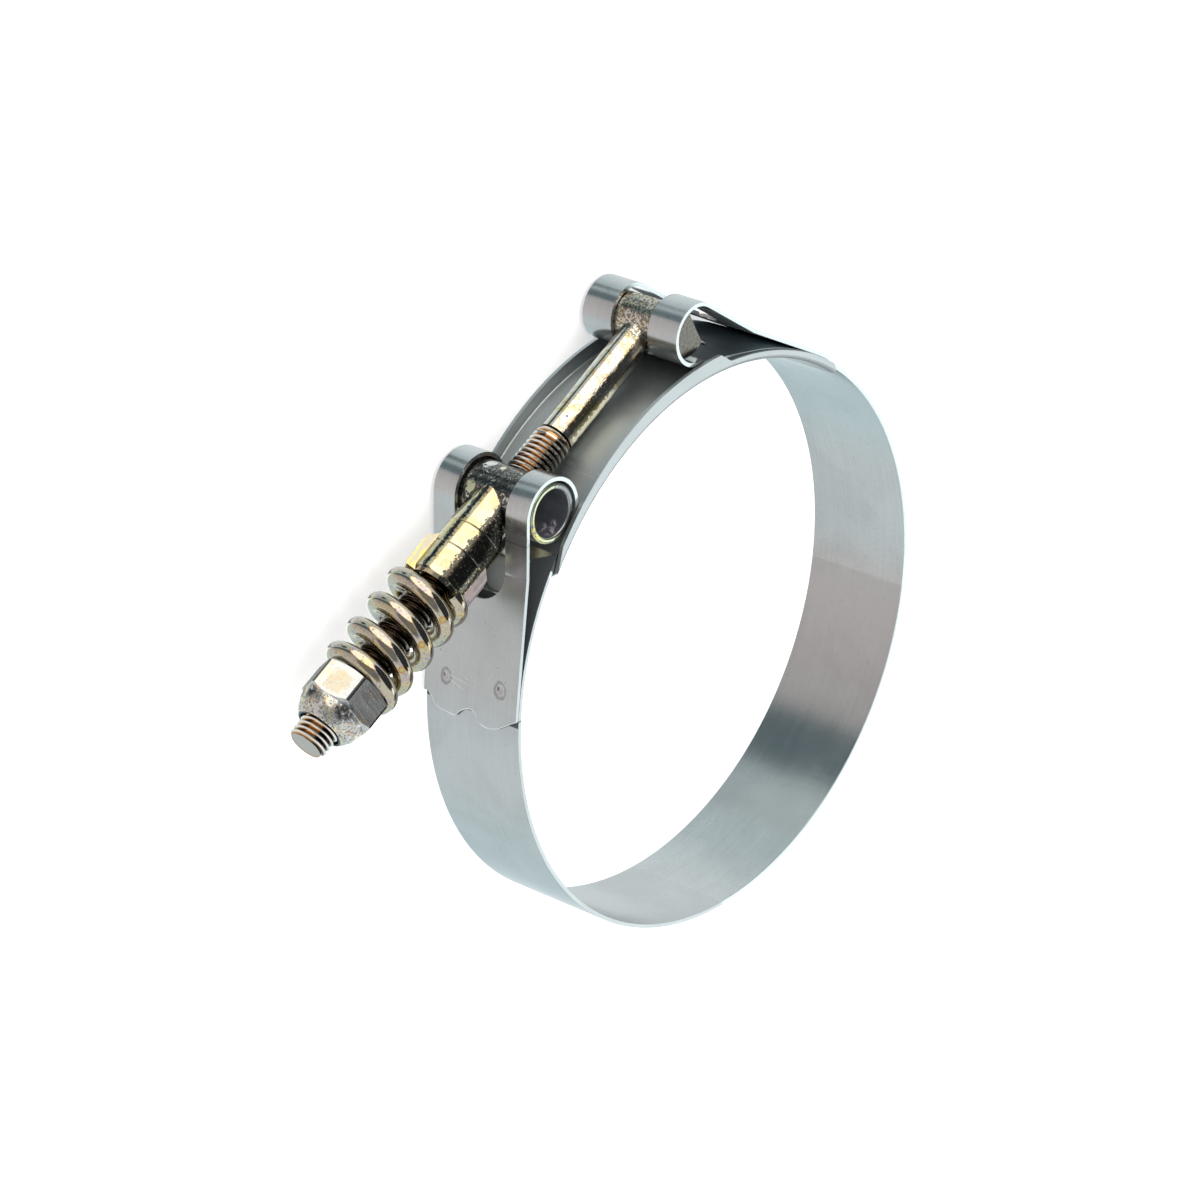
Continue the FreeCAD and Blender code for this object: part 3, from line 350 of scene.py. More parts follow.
print("room", len(room.tree.nodes), "nodes")

# %% [markdown]
# The floor is a plain pale sheet that touches the clamp's lowest edge. It keeps the soft
# shadow, which a little glow towards the camera makes faint. It is left out of reflections,
# because it would fill every upright face of the band, which the photograph shows against
# the walls of the room instead.

# %% Floor and lamp
floor_z = cad_box[0][2]
bpy.ops.mesh.primitive_plane_add(size=4.0, location=(0, 0, floor_z))
floor = bpy.context.object
floor.name = "floor"
paper = Finish("pale_paper")
grain = paper.noise(paper.place, 40.0)
camera_sees = paper.amount(paper.node("LightPath").outputs["Is Camera Ray"])
glow = paper.mix(camera_sees, (0.0, 0.0, 0.0), (0.50, 0.50, 0.50))
floor.data.materials.append(paper.shine(paper.mix(grain, (0.86, 0.86, 0.86), (0.88, 0.88, 0.88)),
                                        0.9, metallic=0.0, Emission_Color=glow,
                                        Emission_Strength=1.0))
floor.visible_glossy = False
lamp_data = bpy.data.lights.new("soft_lamp", "AREA")
lamp_data.shape = "DISK"
lamp_data.size = 0.8
lamp_data.energy = 4.0
lamp = bpy.data.objects.new("soft_lamp", lamp_data)
lamp.location = (0.1, 0.25, 0.9)
lamp.rotation_euler = (Vector((0, 0, 0)) - lamp.location).to_track_quat("-Z", "Y").to_euler()
lamp.visible_glossy = False
bpy.context.collection.objects.link(lamp)
print("floor at", round(floor_z, 5))

# %% [markdown]
# Some of the strip gets hardly any light, and the photograph shows it nearly black: the
# insides of the loops and the band under the head's strap. The pale room alone would leave
# them too bright, so they are darkened by their place. The loops' insides carry a mark on
# the mesh, the den, which a later step makes.

# %% Where hardly any light gets in
def shade_the_loops(metal, colour, den):
    """Darkens the loops' insides and the band under the head's strap, and returns where."""
    open_side = (1 - metal.y.step(0.0478, 0.0486) * metal.x.step(0.0, 0.001)
                 * (1 - metal.x.step(0.0262, 0.0275)))
    ring_reach = (metal.x ** 2.0 + metal.y ** 2.0) ** 0.5
    under_strap = ring_reach.step(0.0498, 0.0506) * (1 - metal.x.step(0.0320, 0.0380))
    dark = metal.mix(metal.x.step(0.0240, 0.0360), (0.38, 0.46, 0.51), (0.80, 0.95, 1.0))
    dark = metal.mix(metal.x.step(0.0195, 0.0245), (0.04, 0.05, 0.056), dark)
    dark = metal.mix(under_strap, dark, (0.08, 0.098, 0.11))
    den = den * open_side
    colour = metal.mix(den * 0.9, colour, dark)
    on_ring = ring_reach.band(0.0477, 0.0484, 0.0001) * metal.x.step(0.0140, 0.0150)
    on_slope = ring_reach.band(0.0477, 0.0494, 0.0001) * metal.x.band(0.0200, 0.0310, 0.0003)
    sheltered = ((on_ring + on_slope).clamp() * metal.y.step(0.0200, 0.0240)
                 * metal.z.band(-0.0092, 0.0092, 0.0001))
    dark = metal.mix(metal.x.step(0.0270, 0.0360), (0.035, 0.050, 0.060), (0.11, 0.16, 0.19))
    colour = metal.mix(sheltered * 0.95, colour, dark)
    return colour, (den + sheltered).clamp()


# %% [markdown]
# Rolled stainless strip is bright but not polished: the rolls leave fine lines along the
# strip, so light smears across it. On this clamp the strip always runs in the XY plane, so
# noise that is stretched there and fine along Z lies right on every fold. Faint clouds,
# handling scratches and pinpoint dents keep it from looking drawn.

# %% Rolled stainless
leg_end = -0.0229


def rolled_strip(name, tint, seed, marks, rough=0.11, solid=0.96):
    """Rolled stainless steel, with a function for the marks of one piece."""
    metal = Finish(name)
    along = metal.vector(metal.x * 60.0, metal.y * 60.0, metal.z * 5200.0 + seed)
    lines = metal.noise(along, 1.0, 3.0, 0.6)
    clouds = metal.noise(metal.place, 70.0, 3.0, 0.55, 0.4)
    patches = metal.noise(metal.place, 420.0, 2.0, 0.5)
    dust = metal.noise(metal.place, 2600.0, 2.0, 0.7)
    turned = metal.vector(metal.x * 3.0 + metal.z * 0.6, metal.y * 3.0 - metal.x,
                          metal.z * 0.35 + metal.x * 0.2)
    hairs = metal.noise(turned, 900.0, 1.0, 0.4)
    scratch = (1 - (hairs - 0.5).math("ABSOLUTE").step(0.0, 0.006)) * clouds.step(0.50, 0.62)
    colour = metal.mix(lines.step(0.3, 0.7) * 0.35 + clouds.step(0.35, 0.65) * 0.65,
                       tuple(v * 0.90 for v in tint), tuple(v * 1.06 for v in tint))
    colour = metal.mix(dust.step(0.50, 0.80) * 0.22, colour, tuple(v * 0.55 for v in tint))
    colour = metal.mix(dust.step(0.70, 0.76) * 0.5, colour, (0.16, 0.15, 0.14))
    colour = metal.mix(scratch * 0.30, colour, tuple(v * 1.35 for v in tint))
    height = lines * 0.6 + patches * 0.4 - scratch * 1.5
    bevel_faces = metal.made_mark("edge")
    den = metal.made_mark("den")
    rim = metal.made_mark("rim")
    # A painted highlight on the sheared edges that face up, and painted shade along the bevels.
    colour = metal.mix(rim * 0.7, colour, (0.76, 0.80, 0.81))
    colour = metal.mix(bevel_faces * 0.75, colour, (0.26, 0.30, 0.31))
    roughness = rough + lines * 0.09 + clouds * 0.07
    colour = marks(metal, colour, patches, dust)
    roughness = roughness + (1 - metal.x.step(leg_end - 0.0003, leg_end + 0.0003)) * 0.10
    colour, den = shade_the_loops(metal, colour, den)
    return metal.shine(colour, roughness + den * 0.45, height, 2.0e-6, solid - den * 0.75)


# %% [markdown]
# The strap that folds back from the trunnion shows most of the wear. Two spot welds hold it
# down, each a dull ring where the electrode pressed, with a paler ring and a dark pit inside.
# A place on the strap is a turn round the ring in degrees and a height in millimetres.

# %% Spot welds on the strap
strap_radius = 0.0486
weld_marks = [(142.3, -5.16), (141.2, 5.93)]


def weld_rings(metal, colour, turn, patches, dust):
    """A dull disc with a dark edge, a pale ring and a pit for each spot weld."""
    for degrees, level in weld_marks:
        over = (turn - math.radians(degrees)) * strap_radius
        up = metal.z - level * 0.001
        away = (over * over * 0.8 + up * up) ** 0.5
        away = away + (patches - 0.5) * 0.0009 + (dust - 0.5) * 0.0005
        pit = ((over + 0.0002) ** 2.0 + (up + 0.00045) ** 2.0 * 3.0) ** 0.5
        pit = pit + (patches - 0.5) * 0.0005
        colour = metal.mix((1 - away.step(0.0009, 0.0014)) * 0.30, colour, (0.34, 0.335, 0.32))
        colour = metal.mix(away.band(0.00095, 0.00125, 0.00012) * 0.55, colour, (0.20, 0.19, 0.175))
        colour = metal.mix(away.band(0.00050, 0.00070, 0.00010) * 0.45, colour, (0.78, 0.79, 0.78))
        colour = metal.mix((1 - pit.step(0.00022, 0.00050)) * 0.8, colour, (0.10, 0.10, 0.095))
    return colour


# %% [markdown]
# Handling left a few hairline scratches and dots. A scratch is found by the distance to a
# short line: the share of the way along it is held between 0 and 1, so that it ends.

# %% Scratches and dots on the strap
strap_scratches = [((139.2, -4.5), (141.5, -0.6)), ((142.6, -4.3), (143.6, -1.4)),
                   ((141.8, -4.4), (142.2, -0.8)), ((140.2, 3.1), (138.6, 4.4))]
strap_dots = [(137.1, 5.2), (139.35, 6.9), (137.7, -6.6)]


def handling_marks(metal, colour, turn, on_strap, patches):
    """Bright hairlines between two points, and dark dots."""
    for (first_turn, first_up), (last_turn, last_up) in strap_scratches:
        run = Vector(((last_turn - first_turn) * math.radians(1) * strap_radius,
                      (last_up - first_up) * 0.001))
        over = (turn - math.radians(first_turn)) * strap_radius
        up = metal.z - first_up * 0.001
        share = ((over * run.x + up * run.y) / run.length_squared).clamp()
        away = ((over - share * run.x) ** 2.0 + (up - share * run.y) ** 2.0) ** 0.5
        line = (1 - away.step(0.00002, 0.00010)) * on_strap * patches.step(0.35, 0.55)
        colour = metal.mix(line * 0.6, colour, (0.90, 0.91, 0.91))
    for degrees, level in strap_dots:
        over = (turn - math.radians(degrees)) * strap_radius
        away = (over * over + (metal.z - level * 0.001) ** 2.0) ** 0.5
        colour = metal.mix((1 - away.step(0.00006, 0.00016)) * on_strap * 0.7, colour,
                           (0.12, 0.12, 0.12))
    return colour


# %% [markdown]
# The strap's end was sheared along a wave. A float curve turns the wave's points into one
# smooth line, which costs no mesh at all and is sharp at any distance. The cut shows as a
# painted highlight along the strap's edge and a thin painted shadow on the ring below it.

# %% The sheared end of the strap
strap_end = [(146.6, -9.53), (146.8, -8.27), (148.2, -7.4), (149.0, -6.14), (149.2, -4.46),
             (149.2, -2.99), (148.5, -2.36), (147.4, -1.12), (146.9, 0.12), (147.4, 1.17),
             (149.0, 2.23), (149.3, 3.88), (148.8, 5.54), (147.6, 7.38), (146.1, 9.53)]


def sheared_end(metal, colour, turn, on_strap, dust):
    """A painted highlight along the strap's waved end, and its painted shadow on the ring below."""
    first_up, last_up = strap_end[0][1], strap_end[-1][1]
    points = [((up - first_up) / (last_up - first_up), (degrees - 145) / 6)
              for degrees, up in strap_end]
    across = (metal.z * 1000.0 - first_up) / (last_up - first_up)
    end = metal.curve(across, points) * math.radians(6) + math.radians(145)
    past = (turn - end) * strap_radius + (dust - 0.5) * 0.0001
    rim = past.band(-0.00016, 0.00004, 0.00004) * on_strap
    shade = past.band(-0.0001, 0.00016, 0.00007) * (1 - on_strap)
    # A painted highlight on the strap's edge and a painted shadow on the ring.
    colour = metal.mix(rim * 0.85, colour, (0.95, 0.96, 0.96))
    return metal.mix(shade * 0.8, colour, (0.14, 0.15, 0.155))


# %% [markdown]
# Two more marks finish the band: a line of painted shade where its leg was bent, and painted
# shade on a stretch of the inner wall, on the lower right.

# %% All the marks on the band
def on_the_band(metal, colour, patches, dust):
    """The strap's marks, and painted shade at the leg's bend line and on a stretch of the inner
    wall.
    """
    turn = metal.y.math("ARCTAN2", metal.x)
    reach = (metal.x * metal.x + metal.y * metal.y) ** 0.5
    on_strap = reach.step(0.0481, 0.0484)
    colour = weld_rings(metal, colour, turn, patches, dust)
    colour = handling_marks(metal, colour, turn, on_strap, patches)
    colour = sheared_end(metal, colour, turn, on_strap, dust)
    # Painted shade along the crease of the leg's bend.
    bend = metal.y.band(0.04988, 0.05004, 0.00004)
    bend = bend * (1 - metal.x.step(leg_end - 0.0003, leg_end + 0.0001))
    colour = metal.mix(bend * metal.z.step(0.0, 0.0002) * 0.45, colour, (0.16, 0.16, 0.16))
    # Painted shade on a stretch of the inner wall.
    shade_on_inner_wall = (1 - reach.step(0.0475, 0.0477)) * turn.step(-1.5, -0.9)
    shade_on_inner_wall = shade_on_inner_wall * (1 - turn.step(-0.663, -0.647))
    return metal.mix(shade_on_inner_wall * 0.22, colour, (0.30, 0.285, 0.28))


# %% [markdown]
# The liner is thinner strip, pressed into a channel. It is duller than the band, because it
# was pressed and not pulled tight, but its sheared faces are bright. Both strips share the
# recipe above and differ in tint, seed and marks.

# %% Marks on the liner, and both steels
rim_face = 0.01036


def on_the_liner(metal, colour, patches, dust):
    """A bright sheared face on each rim and one faint press line across the floor."""
    sheared = metal.z.math("ABSOLUTE").step(rim_face - 0.00012, rim_face - 0.00002)
    colour = metal.mix(sheared * 0.9, colour, (0.82, 0.87, 0.88))
    turn = metal.y.math("ARCTAN2", metal.x) + (patches - 0.5) * 0.0015
    line = turn.band(math.radians(97.9), math.radians(98.05), 0.0008) * metal.z.step(0.001, 0.003)
    return metal.mix(line * 0.35, colour, (0.80, 0.80, 0.79))


band_metal = rolled_strip("rolled_stainless", (0.61, 0.63, 0.635), 0.0, on_the_band)
liner_metal = rolled_strip("liner_stainless", (0.50, 0.545, 0.56), 31.0, on_the_liner,
                           rough=0.30, solid=0.86)

# %% [markdown]
# The bolt, trunnion, sleeve, spring and nut are zinc plated and dipped in yellow chromate.
# The dip dries unevenly: silver where it ran off, straw yellow on most of the face, with
# blushes of orange, rose and lilac. The steel beneath is drawn or turned, so its mirror is
# broken into small dents, and the edge of every reflection comes out ragged.
#
# Each piece adds its own marks through one more function. It may also set `calm`, which
# flattens the dents, and `solid`, which turns the mirror down where a film is thick.

# %% Yellow chromate
def chromate(name, straw, silver, blush, yellow_share, marks, dents=1.4e-5, polish=0.10,
             seed=0.0, metallic=1.0, dust=0.6):
    """Zinc plating under yellow chromate, with a function for the marks of one piece."""
    metal = Finish(name)
    moved = metal.vector(metal.x + seed, metal.y, metal.z)
    pools = metal.noise(moved, 330.0, 3.0, 0.6, 0.6)
    blushes = metal.noise(moved, 620.0, 2.0, 0.5, 1.0)
    grains = metal.noise(moved, 1400.0, 3.0, 0.62)
    specks = metal.noise(moved, 3000.0, 2.0, 0.6)
    colour = metal.mix(pools.step(0.62 - 0.3 * yellow_share, 0.82 - 0.3 * yellow_share),
                       silver, straw)
    colour = metal.mix(blushes.step(0.56, 0.62) * 0.65, colour, blush)
    colour = metal.mix(specks.step(0.58, 0.66) * dust, colour, (0.10, 0.09, 0.075))
    roughness = polish + pools * 0.05 + specks.step(0.5, 0.8) * 0.10
    # Bevelled edges get a painted highlight.
    colour = metal.mix(metal.made_mark("edge") * 0.6, colour, (0.88, 0.86, 0.78))
    metal.calm = 0.0
    metal.solid = 1.0
    colour, roughness = marks(metal, colour, roughness, grains)
    height = grains * 0.8 + blushes * 0.6 + specks.step(0.62, 0.70) * 0.35
    height = height * (1 - metal.calm)
    return metal.shine(colour, roughness, height, dents, metal.solid * metallic)


# %% [markdown]
# Many of these marks lie round the bolt's line, so they are placed by their distance from it
# and the angle round it.

# %% Distance and angle from the bolt's line
bolt_low, bolt_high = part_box("t_bolt")
bolt_line = (bolt_low[1] + bolt_high[1]) / 2


def from_the_bolt(metal):
    """The distance from the bolt's line and the angle round it."""
    over = metal.y - bolt_line
    return (over ** 2.0 + metal.z ** 2.0) ** 0.5, metal.z.math("ARCTAN2", over)


print("the bolt's line is at y", round(bolt_line, 5))

# %% [markdown]
# On the bolt, the thread's roots carry painted shade, its flanks are orange with painted shade
# on their far side, and its crests carry a painted highlight. The tip face has a painted shade
# crescent, the bolt inside the spring is painted darker as shade, and one side of the shank
# carries a painted highlight streak. The shank's lower side is pitted. The head was forged, so
# its plating is speckled, and its end at positive Z is painted dark as shade.

# %% Marks on the bolt
bolt_tip = bolt_low[0]
thread_end = -0.0045
head_start = 0.0156


def on_the_bolt(metal, colour, roughness, grains):
    """Orange flanks, a pit and a speckled head, with painted shade and highlights on the bolt."""
    reach, around = from_the_bolt(metal)
    around = around + (grains - 0.5) * 0.9
    threaded = ((1 - metal.x.step(thread_end - 0.0003, thread_end + 0.0003))
                * metal.x.step(bolt_tip + 0.00004, bolt_tip + 0.00008))
    flank = (1 - reach.step(0.00284, 0.00294)) * threaded
    groove = (1 - reach.step(0.00264, 0.00278)) * threaded
    crest = reach.step(0.00290, 0.00298) * threaded
    # A painted highlight on the crests, painted shade on the flanks' far side and in the roots.
    colour = metal.mix(crest * 0.95, colour, (1.0, 0.99, 0.95))
    colour = metal.mix(flank * 0.85, colour, (0.80, 0.40, 0.12))
    colour = metal.mix(flank * around.step(0.80, 1.05) * 0.9, colour, (0.10, 0.085, 0.075))
    colour = metal.mix(groove * 0.95, colour, (0.035, 0.022, 0.016))
    tip = 1 - metal.x.step(bolt_tip + 0.00002, bolt_tip + 0.00006)
    colour = metal.mix(tip * 0.95, colour, (0.58, 0.515, 0.475))
    # A painted shade crescent on one side of the tip face, round a lit disc.
    lit_disc_centre = (bolt_tip, bolt_line + 0.00031, 0.00026)
    rim = tip * (1 - metal.near(metal.place, lit_disc_centre, 0.00245, 0.00008))
    colour = metal.mix(rim * 0.8, colour, (0.55, 0.30, 0.12))
    pit = metal.near(metal.place, (-0.001337, 0.052527, 0.00135), 0.00016, 0.00005)
    colour = metal.mix(pit, colour, (0.02, 0.02, 0.02))
    head = metal.x.step(head_start - 0.0004, head_start + 0.0004)
    spots = metal.noise(metal.place, 2600.0, 3.0, 0.6).step(0.44, 0.54)
    colour = metal.mix(head * spots * 0.75, colour, (0.11, 0.10, 0.09))
    shiny = metal.noise(metal.place, 1500.0, 3.0, 0.6).step(0.58, 0.64)
    # Painted shade on the head's end at positive Z.
    head_end_shade = head * metal.z.step(0.0050, 0.0056)
    colour = metal.mix(head_end_shade * 0.85, colour, (0.12, 0.11, 0.10))
    colour = metal.mix((head - head_end_shade).clamp() * shiny * 0.6, colour, (0.80, 0.78, 0.72))
    shank = metal.x.step(thread_end + 0.0005, thread_end + 0.0015) * (1 - head)
    shaded = shank * around.band(0.80, 2.1, 0.05)
    metal.calm = (tip * 0.9 + head_end_shade * 0.7).clamp() - shaded * 1.6
    # Painted shade on the bolt where the spring surrounds it.
    shade_inside_spring = metal.x.band(-0.0560, -0.0345, 0.0004)
    colour = metal.mix(shade_inside_spring * 0.75, colour, (0.07, 0.06, 0.05))
    # A painted highlight streak along one side of the shank, less metallic there.
    highlight_streak = shank * around.band(1.60, 2.05, 0.06) * (1 - metal.x.step(0.006, 0.009))
    colour = metal.mix(highlight_streak * 0.8, colour, (0.95, 0.92, 0.66))
    metal.solid = 1 - highlight_streak * 0.7
    return colour, roughness + head * 0.08 + tip * 0.2


# %% [markdown]
# The sleeve carries painted dark reflections along its sides, which leave its crown bright.
# Its two lugs stand farther from the bolt than its tube does, so distance alone finds them.
# The upper one dried gold, the lower one a dull violet.

# %% Marks on the sleeve
lug_reach = 0.00467


def round_the_sleeve(metal, colour, roughness, grains):
    """Painted dark reflections, ragged and near black, run along the sleeve's two sides and leave
    its crown bright.
    """
    ragged = metal.noise(metal.place, 900.0, 4.0, 0.75)
    reach, angle = from_the_bolt(metal)
    turn = angle + (ragged - 0.5) * 0.75
    lug = reach.step(lug_reach - 0.00003, lug_reach + 0.00003)
    dull_lug = lug * angle.step(0.4, 0.6)
    # Painted dark reflections along both sides of the sleeve.
    side = (turn.band(0.68, 2.05, 0.012) + turn.band(-0.17, 0.03, 0.012)).clamp() * (1 - lug)
    bright_specks = metal.noise(metal.place, 2600.0, 2.0, 0.6).step(0.58, 0.63)
    colour = metal.mix(side * 0.93 * (1 - bright_specks * 0.9), colour, (0.07, 0.075, 0.08))
    streaks = metal.noise(metal.vector(metal.x * 0.25, metal.y, metal.z), 1500.0, 2.0, 0.6)
    gold = metal.mix(streaks.step(0.45, 0.55), (0.84, 0.66, 0.16), (0.50, 0.46, 0.36))
    violet = metal.mix(streaks.step(0.48, 0.60), (0.40, 0.34, 0.37), (0.28, 0.265, 0.26))
    colour = metal.mix(lug * 0.9, colour, gold)
    colour = metal.mix(dull_lug * 0.95, colour, violet)
    metal.calm = lug * 0.85
    metal.solid = 1 - dull_lug * 0.6
    return colour, roughness + side * 0.05 + lug * 0.10 + dull_lug * 0.4


# %% [markdown]
# The trunnion is a short tube. Its middle is mottled black; its cut ends show turning lines
# and a cream tint; and its bore is bare dark steel with painted violet glints.

# %% Marks on the trunnion
tube_patches = [((-0.0193, 0.0542, -0.0036), 0.0010, (0.64, 0.68, 0.46)),
                ((-0.0144, 0.0542, -0.0030), 0.0009, (0.82, 0.80, 0.76)),
                ((-0.0147, 0.0543, -0.0004), 0.0005, (0.86, 0.80, 0.60)),
                ((-0.0212, 0.0522, -0.0050), 0.0008, (0.66, 0.66, 0.60))]


def in_the_tube(metal, colour, roughness, grains):
    """The trunnion's bore is bare and dark, with painted violet glints; its middle is mottled."""
    low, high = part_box("trunnion")
    centre_x, centre_y = (low[0] + high[0]) / 2, (low[1] + high[1]) / 2
    reach = ((metal.x - centre_x) ** 2.0 + (metal.y - centre_y) ** 2.0) ** 0.5
    ragged = metal.noise(metal.place, 800.0, 5.0, 0.7, 0.8)
    middle = 1 - metal.z.math("ABSOLUTE").step(0.0056, 0.0060)
    colour = metal.mix(middle, colour, (0.82, 0.80, 0.70))
    colour = metal.mix(middle * ragged.step(0.36, 0.42) * 0.95, colour, (0.055, 0.055, 0.055))
    veins = 1 - (ragged - 0.56).math("ABSOLUTE").step(0.004, 0.014)
    colour = metal.mix(middle * veins * 0.8, colour, (0.86, 0.86, 0.82))
    for spot, radius, tint in tube_patches:
        patch = metal.near(metal.place, spot, radius, 0.00008) * (1 - ragged.step(0.54, 0.58))
        colour = metal.mix(patch * 0.95, colour, tint)
    ends = metal.z.math("ABSOLUTE").step(0.0090, 0.0092)
    side = (metal.y - centre_y).math("ARCTAN2", metal.x - centre_x) + (ragged - 0.5) * 2.0
    cream = side.band(0.9, 2.6, 0.15) + (1 - side.step(-1.9, -1.6))
    end_tint = metal.mix(cream, (0.26, 0.28, 0.28), (0.62, 0.66, 0.44))
    colour = metal.mix(ends * 0.9, colour, end_tint)
    turned_line = reach.band(0.00440, 0.00456, 0.00004) + reach.step(0.00476, 0.00482)
    colour = metal.mix(ends * turned_line.clamp() * 0.85, colour, (0.07, 0.07, 0.075))
    rust = ends * (1 - metal.x.step(-0.0212, -0.0200)) * grains.step(0.45, 0.55)
    colour = metal.mix(rust * 0.8, colour, (0.78, 0.64, 0.12))
    inside = 1 - reach.step(0.00382, 0.00392)
    # Painted violet glints in the bore, less metallic there.
    glints = metal.near(metal.place, (-0.0174, 0.0465, 0.0074), 0.0017, 0.0006) * inside
    glints = glints * ragged.step(0.50, 0.56)
    colour = metal.mix(inside, colour, (0.46, 0.49, 0.54))
    colour = metal.mix(glints * 0.9, colour, (0.95, 0.78, 0.88))
    metal.solid = 1 - glints * 0.5
    return colour, roughness + inside * 0.25


# %% [markdown]
# The spring carries one painted reflection at the same place on every turn: a yellow spot ringed
# with orange.

# %% Marks on the spring
ring_reflections = [(-0.040695, 0.050971, 0.00639), (-0.045861, 0.051046, 0.006327),
         (-0.050909, 0.051065, 0.006369)]


def round_the_coil(metal, colour, roughness, grains):
    """A painted reflection on each turn of the spring: a yellow spot ringed with orange."""
    # Painted reflections, one on each turn.
    for spot in ring_reflections:
        outside = metal.near(metal.place, spot, 0.00064, 0.00008)
        inside = metal.near(metal.place, spot, 0.00034, 0.00008)
        colour = metal.mix(outside * 0.85, colour, (0.62, 0.30, 0.09))
        colour = metal.mix(inside * 0.9, colour, (0.55, 0.55, 0.22))
    return colour, roughness


# %% [markdown]
# The nut's flats were faced across, so they show fine lines, painted darker as shade on the
# flat towards positive Z. The front flat is painted peach in its middle and pale at its edges,
# a painted reflection. Its corners carry painted dark reflections, its mouth a painted shadow,
# and its collar is blotched.

# %% Marks on the nut
nut_blotches = [((-0.0616, 0.0530, 0.0043), 0.0014), ((-0.0614, 0.0552, -0.0012), 0.0009)]


def round_the_nut(metal, colour, roughness, grains):
    """Faced flanks with fine lines, painted shade, reflections and shadow, and a blotched collar.
    """
    reach, around = from_the_bolt(metal)
    ragged = metal.noise(metal.place, 1100.0, 4.0, 0.7)
    facing = metal.noise(metal.vector(metal.x * 6000.0, metal.y * 260.0, metal.z * 260.0),
                         1.0, 2.0, 0.6)
    hexagon = metal.x.step(-0.0612, -0.0608)
    # Painted shade: darker facing lines on the flat towards positive Z.
    shaded = hexagon * metal.z.step(0.0030, 0.0036)
    colour = metal.mix(shaded * facing.step(0.42, 0.66) * 0.45, colour, (0.16, 0.18, 0.19))
    # A painted reflection on the front flat: peach in the middle, pale at the edges.
    front = hexagon * around.band(0.02, 1.03, 0.01)
    wander = (ragged - 0.5) * 0.0016
    along = metal.x + wander
    frame = ((reach + wander).step(0.00575, 0.00605) + along.step(-0.0571, -0.0563)
             + 1 - along.step(-0.0608, -0.0600)).clamp()
    colour = metal.mix(front * (1 - frame) * 0.6, colour, (0.56, 0.46, 0.29))
    colour = metal.mix(front * frame * 0.6, colour, (0.62, 0.66, 0.67))
    collar = 1 - hexagon
    fleck = metal.noise(metal.place, 3000.0, 3.0, 0.65)
    colour = metal.mix(collar * fleck.step(0.51, 0.57) * 0.8, colour, (0.12, 0.12, 0.12))
    colour = metal.mix(collar * ragged.step(0.58, 0.62) * 0.75, colour, (0.90, 0.84, 0.45))
    colour = metal.mix(collar * (1 - ragged.step(0.37, 0.41)) * 0.8, colour, (0.86, 0.90, 0.92))
    for spot, radius in nut_blotches:
        patch = metal.near(metal.place, spot, radius, radius * 0.35)
        patch = patch * ragged.step(0.38, 0.46) * (0.6 + fleck.step(0.40, 0.48) * 0.4)
        colour = metal.mix(patch * 0.92, colour, (0.06, 0.06, 0.07))
    # Painted dark reflections along the corners.
    corner = reach.step(0.00622, 0.00626) * ragged.step(0.28, 0.34)
    colour = metal.mix(corner * hexagon * 0.95, colour, (0.03, 0.03, 0.035))
    # A painted shadow in the mouth.
    mouth_shadow = collar * (1 - reach.step(0.00378, 0.00386))
    colour = metal.mix(mouth_shadow * 0.95, colour, (0.03, 0.03, 0.035))
    return colour, roughness


# %% [markdown]
# Each plated piece hangs differently in the bath, so each gets its own straw, silver and
# blush. The locking ring in the nut is nylon: no metal, nearly black, a little rough.

# %% The five platings and the nylon
rose = (0.74, 0.50, 0.30)
lilac = (0.50, 0.42, 0.50)
bolt_metal = chromate("bolt_chromate", (0.68, 0.57, 0.29), (0.78, 0.75, 0.66), rose, 0.5,
                      on_the_bolt, dust=0.4)
sleeve_metal = chromate("sleeve_chromate", (0.74, 0.65, 0.35), (0.80, 0.74, 0.52), rose, 0.7,
                        round_the_sleeve, seed=0.3, dust=0.12)
trunnion_metal = chromate("trunnion_chromate", (0.66, 0.66, 0.42), (0.68, 0.68, 0.60), lilac, 0.5,
                          in_the_tube, dents=2.0e-5, seed=0.5, metallic=0.94)
spring_metal = chromate("spring_chromate", (0.70, 0.585, 0.33), (0.62, 0.555, 0.44), lilac, 0.5,
                        round_the_coil, dents=1.0e-5, polish=0.07, seed=0.9)
nut_metal = chromate("nut_chromate", (0.76, 0.68, 0.46), (0.66, 0.66, 0.64), (0.72, 0.54, 0.40),
                     0.40, round_the_nut, dents=2.6e-5, polish=0.18, seed=1.3, metallic=0.82,
                     dust=0.1)
nylon = Finish("insert_nylon")
fuzz = nylon.noise(nylon.place, 2500.0)
insert_plastic = nylon.shine(nylon.mix(fuzz, (0.03, 0.03, 0.035), (0.06, 0.06, 0.065)),
                             0.5, fuzz, 1e-5, metallic=0.0)


# %% [markdown]
# The liner and the nylon ring keep the meshes of their solids. They only need a material in
# each slot.

# %% Dress the liner and the ring
def dress(node, material):
    """Puts one material in every slot of a CAD node."""
    piece = frame["nodes"][node]
    for slot in piece.material_slots:
        slot.material = material
    print("dressed", node, len(piece.data.polygons), "faces")


dress("liner", liner_metal)
dress("nut_insert", insert_plastic)

# %% [markdown]
# Every solid comes with knife-sharp corners. Sheared strip and turned steel have a small
# soft edge, and it is that edge which catches the light. So the band, trunnion, sleeve and
# nut are stood in for by copies of their own meshes with a narrow bevel on each corner.
#
# A copy has to be merged first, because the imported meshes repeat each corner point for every
# face, and a bevel needs faces that share their points.

# %% Copies and cuts
merge_distance = 1e-6


def only(piece):
    """Makes a piece the only selected one, and the active one."""
    bpy.ops.object.select_all(action="DESELECT")
    piece.select_set(True)
    bpy.context.view_layer.objects.active = piece


